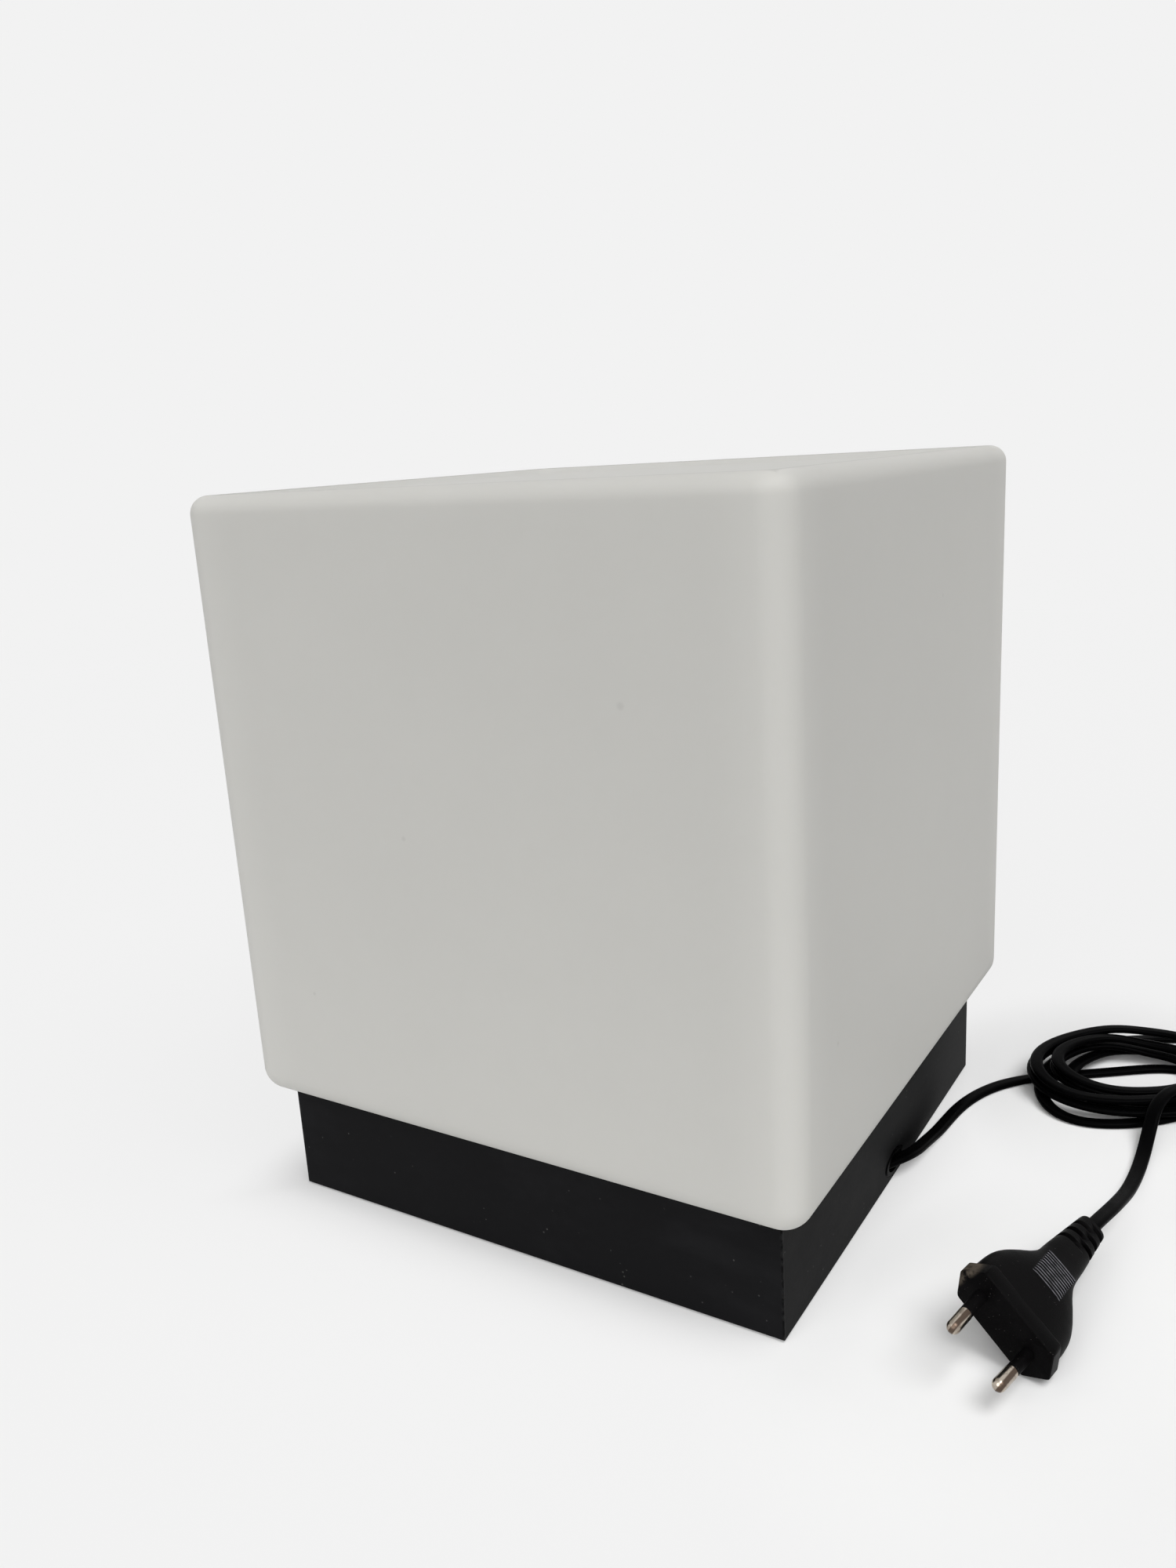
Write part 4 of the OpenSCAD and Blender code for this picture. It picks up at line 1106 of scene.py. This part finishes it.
@dataclass
class CordSet:
    """The cord: the free length with its coil, and the length inside the plinth.

    Attributes:
        coil: The coil's formula.
        pose: The pose of the plug that it ends in.
        stub: How far outside the panel the free and the inner length meet, in millimetres.
        rings: Rings in a turn of the hank.
        steps: Rings between two points of a route.
        passes: Times that the free path is evened out.
        hole: Depths of two points of the inner length in the panel's slanting hole.
        upright: Distance from the lamp's axis up to which the inner length turns on edge.
        level: Direction across its flat side at the axis.
        slim: Scale of the inner length's section, which keeps it clear of its sleeve.
    """

    coil: Coil = field(default_factory=Coil)
    pose: Pose = field(default_factory=plug_pose)
    stub: float = 1.2
    rings: int = 72
    steps: int = 6
    passes: int = 6
    hole: Span = (12.0, 22.0)
    upright: float = 12.0
    level: tuple[float, float, float] = (0.7, -0.7, 0.0)
    slim: float = 0.985

    def free_path(self) -> np.ndarray:
        """Returns the free cord's centreline from the plinth to the plug, in metres.

        It is a spline through the lead's points, the hank's formula, and a spline through the
        tail's points, evened out by taking each point halfway to the middle of its neighbours.
        """
        coil = self.coil
        core = coil.at(np.linspace(0, coil.turns, round(coil.turns * self.rings) + 1))
        ends = coil.at(np.array([0.0, 0.001, coil.turns - 0.001, coil.turns]))
        into, out = unit(ends[1] - ends[0]), unit(ends[3] - ends[2])
        first, last = core[0] - END_RUN * into, core[-1] + END_RUN * out
        start = EXIT_AT + self.stub * EXIT_DIR
        relief = self.pose.origin / MM - (PLUG_LEN + RELIEF_LEN) * self.pose.along
        lead = np.array([start, start + CORD_WIDE * EXIT_DIR, *LEAD_ROUTE,
                         first - END_RUN / 2 * into, first, core[0]])
        tail = np.array([core[-1], last, last + END_RUN / 2 * out, *TAIL_ROUTE,
                         relief - CORD_WIDE * self.pose.along, relief])
        path = np.vstack([spline(lead, self.steps)[:-1], core, spline(tail, self.steps)[1:]])
        for _ in range(self.passes):
            path[1:-1] = path[1:-1] * 0.5 + (path[:-2] + path[2:]) * 0.25
        return path * MM

    def inner_path(self) -> np.ndarray:
        """Returns the centreline inside the plinth, from the sleeve to the holder, in metres."""
        start = EXIT_AT + self.stub * EXIT_DIR
        route = np.array([start, start - CORD_WIDE * EXIT_DIR,
                          *(EXIT_AT - depth * EXIT_DIR for depth in self.hole), *INNER_ROUTE,
                          (0, 0, CORD_TOP - CORD_WIDE), (0, 0, CORD_TOP)])
        return spline(route, self.steps) * MM

    def build(self) -> None:
        section = cord_section() * MM
        path = self.free_path()
        shell = Shell()
        shell.loft(sweep(path, section, UP))
        cord = shell.build("cord", "cord_black", Body.BASE, 60)
        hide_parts("cord_lead", "cord_coil", "cord_tail")
        inner = self.inner_path()
        turned = smooth(1 - inner[:, :1] / MM / self.upright)
        levels = UP * (1 - turned) + np.array(self.level) * turned
        shell = Shell()
        shell.loft(sweep(inner, section * self.slim, levels))
        hidden = shell.build("cord_inside", "cord_black", Body.BASE, 60)
        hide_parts("inner_lead")


@dataclass
class PlugSet:
    """The moulded flat plug and its notched strain relief.

    All lengths are in millimetres.

    Attributes:
        pose: Where the plug lies.
        tip: Half the width of the front's widest line.
        flat: Half the width of the front's flat faces.
        thick: Half the front's thickness.
        round: Pull of the front's rounded corners.
        front: Stations of the front: place, and how far its faces draw in there.
        root: Half the width and thickness of the strain relief where it leaves the plug.
        end: The same at its far end.
        notches: Notches on each side of the strain relief.
        notch_gap: Distance between notches of one side.
        notch_first: Place of the first notch.
        notch_reach: How far a notch reaches before and after its place.
        notch_soft: Length of its slopes.
        notch_depth: Shares of the half width and thickness that it takes away.
        rib: Outline of a grip rib, along the plug and above its face.
        rib_half: Half the length of the first rib, and its growth from rib to rib a millimetre.
        grip: Stations of the grip: place, half width, half thickness and exponent.
    """

    pose: Pose = field(default_factory=plug_pose)
    tip: float = 17.65
    flat: float = PLUG_FLAT
    thick: float = PLUG_THICK
    round: float = 0.9
    front: tuple[tuple[float, float], ...] = ((0.0, 0.55), (-0.15, 0.2), (-0.5, 0.0), (-5.4, 0.0),
                                              (-5.8, 0.2), (-FRONT_LEN, 0.6))
    root: tuple[float, float] = (6.2, 4.9)
    end: tuple[float, float] = (4.5, 3.5)
    notches: int = 3
    notch_gap: float = 5.4
    notch_first: float = 3.8
    notch_reach: Span = (1.3, 0.8)
    notch_soft: float = 0.35
    notch_depth: Span = (0.20, 0.30)
    rib: tuple[Span, ...] = ((-0.34, -2.3), (0.34, -2.3), (0.32, 0.06), (0.15, 0.26),
                             (-0.15, 0.26), (-0.32, 0.06))
    rib_half: Span = (4.8, 0.045)
    grip: tuple[tuple[float, ...], ...] = (
        (-0.9, 14.4, 6.35, 3.6), (-2.4, 15.1, 6.78, 3.4), (-6.2, 15.7, 6.84, 3.0),
        (-10.0, 15.8, 6.85, 2.8), (-15.0, 15.3, 6.84, 2.6), (-19.5, 13.9, 6.78, 2.4),
        (-24.0, 11.6, 6.5, 2.3), (-28.0, 9.2, 6.15, 2.3), (-31.5, 7.5, 5.75, 2.5),
        (-35.0, 6.7, 5.4, 2.8), (-38.5, 6.4, 5.15, 3.0), (-42.0, 6.2, 4.9, 3.0))

    def add(self, shell: Shell, x: np.ndarray, y: np.ndarray, z: np.ndarray) -> None:
        """Lofts rings that are given along the plug's axes, in millimetres.

        Args:
            shell: The shell that gets the tube.
            x: Place along the plug of each ring, or of each point.
            y: Place across it.
            z: Place above it.
        """
        points = np.stack(np.broadcast_arrays(x, y, z), -1)
        shell.loft(self.pose.place(points * MM))

    def body(self) -> Shell:
        """Returns the plug's body: a hexagonal front, a swollen grip and a slim neck.

        The front is lofted from hexagons with small chamfers, the grip from superellipses
        whose half widths and exponents follow a smooth curve along the plug.
        """
        shell = Shell()
        corners = np.array([[self.tip, 0.0], [self.flat, self.thick], [-self.flat, self.thick],
                            [-self.tip, 0.0], [-self.flat, -self.thick],
                            [self.flat, -self.thick]])[:, None]
        bend = np.linspace(0, 1, 5)[:, None]
        pull = self.round * ((1 - bend) ** 2 * unit(np.roll(corners, 1, 0) - corners)
                             + bend ** 2 * unit(np.roll(corners, -1, 0) - corners))
        outline = (corners + pull).reshape(-1, 2)
        places, shrinks = np.array(self.front).T
        rings = outline * (1 - shrinks / self.flat)[:, None, None]
        self.add(shell, places[:, None], rings[..., 0], rings[..., 1])
        smoothed = spline(np.array(self.grip), 6)
        x, wide, high, power = (smoothed[:, i:i + 1] for i in range(4))
        self.add(shell, x, *oval(72, wide, high, 2 / power, 2 / power))
        for side in (1, -1):
            for i in range(RIBS):
                self.add_rib(shell, RIB_FIRST - RIB_STEP * i, side)
        return shell

    def add_rib(self, shell: Shell, x: float, side: int) -> None:
        """Adds one grip rib across a broad face, which bends down towards its ends.

        Args:
            shell: The shell that gets the rib.
            x: The rib's place along the plug in millimetres.
            side: 1 for the upper broad face, -1 for the lower.
        """
        half = self.rib_half[0] + self.rib_half[1] * (RIB_FIRST - x)
        along = np.linspace(-half, half, 13)
        rows = np.array(self.grip)[::-1]
        top = np.interp(x, rows[:, 0], rows[:, 2]) - 0.05 - 0.008 * along ** 2
        places, heights = np.array(self.rib).T
        heights = np.tile(heights, (len(along), 1))
        heights[[0, -1], 2:] *= 0.4
        self.add(shell, x + places[None], along[:, None], side * (top[:, None] + heights))

    def relief(self) -> Shell:
        """Returns the strain relief: a tapered sleeve cut by staggered notches.

        Its half widths shrink evenly along it; at each notch the side dips by a smooth step.
        """
        x = np.linspace(0, RELIEF_LEN, 121)[:, None]
        wide, thick = (self.root[i] + (self.end[i] - self.root[i]) * x / RELIEF_LEN
                       for i in (0, 1))
        y, z = oval(48, wide, thick, 2 / 3, 2 / 3)
        cut = np.zeros_like(y)
        for i in range(self.notches):
            for side in (1, -1):
                off = x - self.notch_first - self.notch_gap * (i + (1 + side) / 4)
                inside = (smooth((off + self.notch_reach[0]) / self.notch_soft)
                          * (1 - smooth((off - self.notch_reach[1]) / self.notch_soft)))
                reach = smooth((side * y / wide + 0.05) / 0.12)
                cut = np.maximum(cut, inside * reach)
        shell = Shell()
        self.add(shell, -PLUG_LEN - x, y * (1 - self.notch_depth[0] * cut),
                 z * (1 - self.notch_depth[1] * cut))
        return shell

    def build(self) -> None:
        """Makes the plug's pieces in the places of their CAD nodes."""
        body = self.body().build("plug", "plug_black", Body.BASE, 32)
        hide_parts("plug_body")
        relief = self.relief().build("plug_boot", "plug_black", Body.BASE, 50)
        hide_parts("plug_relief")


# ------------------------------------------------------------------------ the shade


@dataclass
class Shade:
    """The glass cube, one closed surface from its inner ceiling to its outer top.

    All lengths are in millimetres.

    Attributes:
        half: Half the cube's width.
        low: Height of its underside.
        high: Height of its top edge.
        wall: Thickness of the glass.
        upright: Radius of the upright edges.
        top_edge: Radius of the top edges.
        low_edge: Radius of the bottom edges.
        crease: Corner radius of the ring where the bottom edge begins.
        mouth: Radius of the round mouth.
        lip: Reach of the mouth's rounded rim.
        sunk: Depth of the dip in the top.
        dip: Distances from the axis between which the dip begins.
        belly: How far the middle of each side draws in.
        flat: Distance from a side's middle at which it draws in no more.
        waist: Heights between which the sides begin to draw in, and those where they end.
        corner_steps: Steps in a corner of each ring.
        side_steps: Steps in a side of each ring.
    """

    half: float = 105.0
    low: float = 40.7
    high: float = 250.2
    wall: float = 3.5
    upright: float = 9.5
    top_edge: float = 6.0
    low_edge: float = 9.0
    crease: float = 0.5
    mouth: float = 70.0
    lip: float = 0.9
    sunk: float = 2.0
    dip: Span = (89.6, 98.6)
    belly: float = 0.35
    flat: float = 95.0
    waist: tuple[Span, Span] = ((60.0, 130.0), (180.0, 240.0))
    corner_steps: int = 14
    side_steps: int = 26

    def top_round(self, inset: float, *angles: float) -> Rings:
        """Returns rings round the top edge, which lie a given depth inside the glass."""
        edge, core = self.top_edge - inset, self.half - self.top_edge
        return [(core + edge * c, self.upright - self.top_edge + edge * c,
                 self.high - self.top_edge + edge * s) for c, s in arc(*angles)]

    def low_round(self, inset: float, *angles: float) -> Rings:
        """Returns rings round the bottom edge, which lie a given depth inside the glass."""
        edge, core = self.low_edge - inset, self.half - self.low_edge
        return [(core + edge * c, self.crease + edge * c, self.low + self.low_edge - edge * s)
                for c, s in arc(*angles)]

    def side(self, inset: float, *heights: float) -> Rings:
        """Returns rings of the sides, given by a first height, a last one and a number."""
        return [(self.half - inset, self.upright - inset, z) for z in np.linspace(*heights)]

    def underside(self, begin: float, end: float, height: float) -> Rings:
        """Returns rings of the underside, given as shares of the way from edge to mouth."""
        core, mouth = self.half - self.low_edge, self.mouth + self.lip
        return [(core + (mouth - core) * share, self.crease + (mouth - self.crease) * share ** 0.8,
                 height) for share in np.linspace(begin, end, 8)]

    def stations(self) -> Rings:
        """Returns half width, corner radius and height of each ring of the surface.

        They run from the middle of the ceiling down the inside, round the mouth and up the
        outside to the middle of the top, which dips by a smooth step.
        """
        top, low, flat = self.high - self.wall, self.low + self.wall, self.upright - self.top_edge
        foot = self.low + self.low_edge + 4
        lip = [(self.mouth + self.lip * (1 - c), self.mouth + self.lip * (1 - c),
                self.low + self.wall / 2 * (1 + s)) for c, s in arc(90, -90, 9)]
        return [*((h, min(h, flat), top) for h in (0.4, 20, 45, 70, 88, 96)),
                *self.top_round(self.wall, 90, 0, 7),
                *self.side(self.wall, top - 12, foot, 6),
                *self.low_round(self.wall, 0, 90, 9),
                *self.underside(0.12, 0.94, low),
                *lip,
                *self.underside(0.94, 0.12, self.low),
                *self.low_round(0.0, 90, 0, 15),
                *self.side(0.0, foot, self.high - self.top_edge - 4, 24),
                *self.top_round(0.0, 0, 90, 13),
                *((h, min(h, flat), self.high - self.sunk
                   * smooth((self.dip[1] - h) / (self.dip[1] - self.dip[0])))
                  for h in (98.2, 97.4, 96.4, 95.2, 94, 92.8, 91.6, 90.6, 89.6, 87, 82, 74, 62,
                            48, 34, 18, 0.4))]

    def build(self) -> None:
        """Makes the shade in the place of its CAD node.

        Its sides draw in by a smooth step up and down the cube, times one less the square of
        the distance from the side's middle.
        """
        steps = self.corner_steps, self.side_steps
        points = np.array([np.insert(square_loop(half, radius, *steps), 2, height, axis=1)
                           for half, radius, height in self.stations()])
        (low, rise), (fall, high) = self.waist
        z = points[..., 2]
        belly = (self.belly * smooth((z - low) / (rise - low))
                 * smooth((high - z) / (high - fall)))
        middle = 1 - np.minimum(np.abs(points[..., :2]).min(axis=2) / self.flat, 1.0) ** 2
        points[..., :2] *= (1 - belly * middle / self.half)[..., None]
        shell = Shell()
        shell.loft(points * MM)
        shade = shell.build("shade_glass", "opal_glass", Body.SHADE, 70)
        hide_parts("glass_shade")


# ------------------------------------------------------------------- small hardware


def ring_surface(profile: np.ndarray, steps: int) -> np.ndarray:
    """Turns a closed profile of radius and height about Z into rings.

    Args:
        profile: Closed outline, radius and height in millimetres.
        steps: Number of rings round the axis.

    Returns:
        Rings as an array of rings, points and coordinates, in millimetres.
    """
    angles = np.linspace(0, 2 * math.pi, steps, endpoint=False)
    x = np.cos(angles)[:, None] * profile[None, :, 0]
    y = np.sin(angles)[:, None] * profile[None, :, 0]
    z = np.broadcast_to(profile[None, :, 1], x.shape)
    return np.stack([x, y, z], -1)


@dataclass
class Seat:
    """The felt ring under the glass, with a soft uneven nap.

    All lengths are in millimetres.

    Attributes:
        inner: Inner radius.
        outer: Outer radius.
        low: Height of the underside.
        high: Height of the top.
        swell: Power that swells the section from an ellipse to a rounded oblong.
        nap: Depth of the nap's waves.
        waves: Waves of the nap round the ring, and round its section.
        steps: Steps round the ring, and round its section.
    """

    inner: float = 73.1
    outer: float = 81.9
    low: float = 39.2
    high: float = 40.7
    swell: float = 0.35
    nap: float = 0.04
    waves: tuple[int, int] = (31, 3)
    steps: tuple[int, int] = (240, 40)

    def build(self) -> None:
        """Makes the ring in the place of its CAD node.

        It is a swollen ellipse carried round the axis, pressed in by the size of a sine wave
        that runs askew over it and fades towards its rims.
        """
        rows, columns = self.steps
        middle, half = (self.inner + self.outer) / 2, (self.outer - self.inner) / 2
        depth = (self.high - self.low) / 2
        r, z = oval(columns, half, depth, self.swell, self.swell)
        rings = ring_surface(np.stack([middle + r, self.low + depth + z], 1), rows)
        turn, angles = (np.linspace(0, 2 * math.pi, count, endpoint=False) for count in self.steps)
        wave = np.sin(self.waves[0] * turn[:, None] + self.waves[1] * angles) * np.sin(angles)
        rings[..., 2] -= np.abs(self.nap * wave)
        shell = Shell()
        shell.add(rings.reshape(-1, 3) * MM, grid_faces(rows + 1, columns) % (rows * columns))
        felt = shell.build("seat_felt", "felt", Body.BASE, 60)
        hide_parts("felt_ring")


@dataclass
class Filament:
    """The bulb's coiled filament: a helix wound along an arc.

    All lengths are in millimetres.

    Attributes:
        radius: Radius of the arc.
        wire: Radius of the wire.
        coil: Radius of the helix.
        turns: Turns of the helix.
        span: Angle of the arc in degrees.
    """

    radius: float = 11.0
    wire: float = 0.06
    coil: float = 0.29
    turns: int = 70
    span: float = 220.0

    def build(self) -> None:
        """Makes the filament in the place of its CAD node, at that node's middle height."""
        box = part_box("bulb_filament")
        height = (box[0][2] + box[1][2]) / 2 / MM
        t = np.linspace(0, 1, self.turns * 10 + 1)
        bow, twist = np.radians(self.span * (t - 0.5)), 2 * math.pi * self.turns * t
        r = self.radius + self.coil * np.cos(twist)
        path = np.stack([r * np.cos(bow), r * np.sin(bow), height + self.coil * np.sin(twist)], 1)
        section = np.stack(oval(6, self.wire, self.wire, 1, 1), 1) * MM
        shell = Shell()
        shell.loft(sweep(path * MM, section, UP))
        wire = shell.build("filament_wire", "filament", Body.BULB, 60)
        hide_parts("bulb_filament")


@dataclass
class Hardware:
    """The CAD nodes: all get their finishes, and some of those that are shown get a bevel.

    Attributes:
        bevels: Width of the bevel in metres for each node that gets one.
        sharp: Edges sharper than this many degrees get it.
    """

    bevels: dict[str, float] = field(default_factory=lambda: {
        "front_panel": 0.0004, "right_panel": 0.0004, "rear_panel": 0.0004,
        "left_panel": 0.0004, "top_plate": 0.0003, "corner_blocks": 0.0005,
        "bottom_cover": 0.0002, "clamp_bridge": 0.0004, "tube_nuts": 0.0003})
    sharp: float = 30.0

    def build(self) -> None:
        """Gives every CAD node its material, and some a bevel."""
        slots = {part["node"]: part["material_slot"] for part in frame["record"]["subparts"]}
        for name, node in frame["nodes"].items():
            node.data.materials.clear()
            node.data.materials.append(PALETTE.get(slots[name]))
            if name in self.bevels:
                bevel = node.modifiers.new("edge", "BEVEL")
                bevel.width, bevel.segments = self.bevels[name], 2
                bevel.limit_method = "ANGLE"
                bevel.angle_limit = math.radians(self.sharp)
                bevel.harden_normals = True
            LOG.info("CAD node %s: %s", name, slots[name])


# ------------------------------------------------------------------ stage and light


@dataclass(frozen=True)
class Lamp:
    """A wide soft light that is the same over the whole floor.

    Attributes:
        name: Name of the light.
        azimuth: Direction that it comes from, in degrees from +X towards +Y.
        height: Its angle above the floor in degrees.
        soft: Angle that it spans in degrees.
        power: Its strength in watts a square metre.
    """

    name: str
    azimuth: float
    height: float
    soft: float
    power: float

    def build(self) -> None:
        """Makes the light."""
        data = bpy.data.lights.new(self.name, "SUN")
        data.energy, data.angle = self.power, math.radians(self.soft)
        light = bpy.data.objects.new(self.name, data)
        turn, rise = math.radians(self.azimuth), math.radians(self.height)
        way = Vector((math.cos(rise) * math.cos(turn), math.cos(rise) * math.sin(turn),
                      math.sin(rise)))
        light.rotation_mode = "QUATERNION"
        light.rotation_quaternion = (-way).to_track_quat("-Z", "Y")
        light.location = way * 2.0
        bpy.context.scene.collection.objects.link(light)
        LOG.info("light %s: %.0f degrees round, %.0f up", self.name, self.azimuth, self.height)


@dataclass
class Stage:
    """A pale floor that fades into a pale background, and soft light.

    Attributes:
        floor: Linear reflectance of the floor.
        sky: Linear colour that the camera sees behind the floor.
        lift: Share of the floor's colour that the camera sees without shadow, near the lamp.
        foot: Half the width of the square where the shadows round the lamp begin to fade.
        fade: Distance over which the floor's shadows fade out.
        pools: Round parts of the floor that keep their shadows: centre and radius.
        ambient: Strength of the light from all round.
        lamps: The wide soft lights.
    """

    floor: float = 0.925
    sky: float = 0.888
    lift: float = 0.04
    foot: float = 0.080
    fade: float = 0.048
    pools: tuple[tuple[float, float, float], ...] = ((0.162, 0.108, 0.048), (0.158, -0.05, 0.035),
                                                     (0.145, -0.10, 0.03))
    ambient: float = 0.12
    lamps: tuple[Lamp, ...] = (Lamp("key", -12.0, 61.0, 40.0, 1.92),
                               Lamp("fill", -88.0, 35.0, 60.0, 1.53))

    def ground(self) -> None:
        """Makes the floor: a disc whose outer part fades away.

        The camera sees it turn to one plain pale tone with the distance from the lamp's foot
        and from the pools, so that the floor's shadows fade out there.
        """
        steps, radii = 96, np.array([0.02, 0.3, 0.6, 1.0, 1.6, 2.4, 3.4])[:, None]
        x, y = oval(steps, radii, radii, 1, 1)
        rings = np.stack([x, y, np.full_like(x, -0.00005)], -1)
        mesh = bpy.data.meshes.new("floor")
        faces = grid_faces(len(radii), steps).tolist() + [list(range(steps))]
        mesh.from_pydata(rings.reshape(-1, 3).tolist(), [], faces)
        graph = Graph(bpy.data.materials.new("floor_paper"))
        tooth = graph.noise(900, 3, 0.6)
        tone = graph.tint(graph.noise(3, 2, 0.5), (self.floor * 0.995,) * 3,
                          (self.floor * 1.005,) * 3)
        diffuse = graph.node("ShaderNodeBsdfDiffuse", {},
                             {"Color": tone, "Normal": graph.bump(tooth, 0.00002, 0.3)})
        plain = graph.node("ShaderNodeEmission", {}, {"Color": (self.sky,) * 3 + (1.0,)})
        seen = graph.node("ShaderNodeLightPath", output="Is Camera Ray")
        near = abs(graph.axis("X")).larger(abs(graph.axis("Y"))) - self.foot
        for *centre, reach in self.pools:
            near = near.smaller(graph.distance((*centre, 0.0)) - reach)
        pale = near.ramp(0.0, self.fade, self.lift, 0.9)
        lit = graph.node("ShaderNodeMixShader", {}, {0: seen * pale, 1: diffuse, 2: plain})
        clear = graph.node("ShaderNodeBsdfTransparent")
        fade = graph.distance((0.0, 0.0, 0.0)).ramp(1.0, 2.6)
        mixed = graph.node("ShaderNodeMixShader", {}, {0: fade, 1: lit, 2: clear})
        graph.finish(mixed)
        mesh.materials.append(graph.owner)
        ground = bpy.data.objects.new("floor", mesh)
        bpy.context.scene.collection.objects.link(ground)

    def world(self) -> None:
        """Makes light from all round, and a pale background for the camera."""
        world = bpy.data.worlds.new("world")
        bpy.context.scene.world = world
        graph = Graph(world, "ShaderNodeOutputWorld")
        light = graph.node("ShaderNodeBackground", {}, {"Color": (1.0, 1.0, 0.995, 1.0),
                                                        "Strength": self.ambient})
        seen = graph.node("ShaderNodeBackground", {}, {"Color": (self.sky,) * 3 + (1.0,)})
        camera, gloss, clear = (graph.node("ShaderNodeLightPath", output=f"Is {kind} Ray")
                                for kind in ("Camera", "Glossy", "Transmission"))
        shown = camera.larger(gloss).larger(clear)
        graph.finish(graph.node("ShaderNodeMixShader", {}, {0: shown, 1: light, 2: seen}))

    def build(self) -> None:
        """Makes the floor, the background and the lights."""
        self.ground()
        self.world()
        for lamp in self.lamps:
            lamp.build()
        view = bpy.context.scene.view_settings
        view.view_transform = "Standard"
        view.look = "None"
        view.exposure = 0.0


def main() -> None:
    """Builds the camera, the cords and every other piece, then the stage."""
    logging.basicConfig(level=logging.INFO)
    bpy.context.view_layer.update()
    CameraRig().build()
    PlugSet().build()
    CordSet().build()
    Shade().build()
    Seat().build()
    Filament().build()
    Hardware().build()
    Stage().build()


if __name__ == "__main__":
    main()
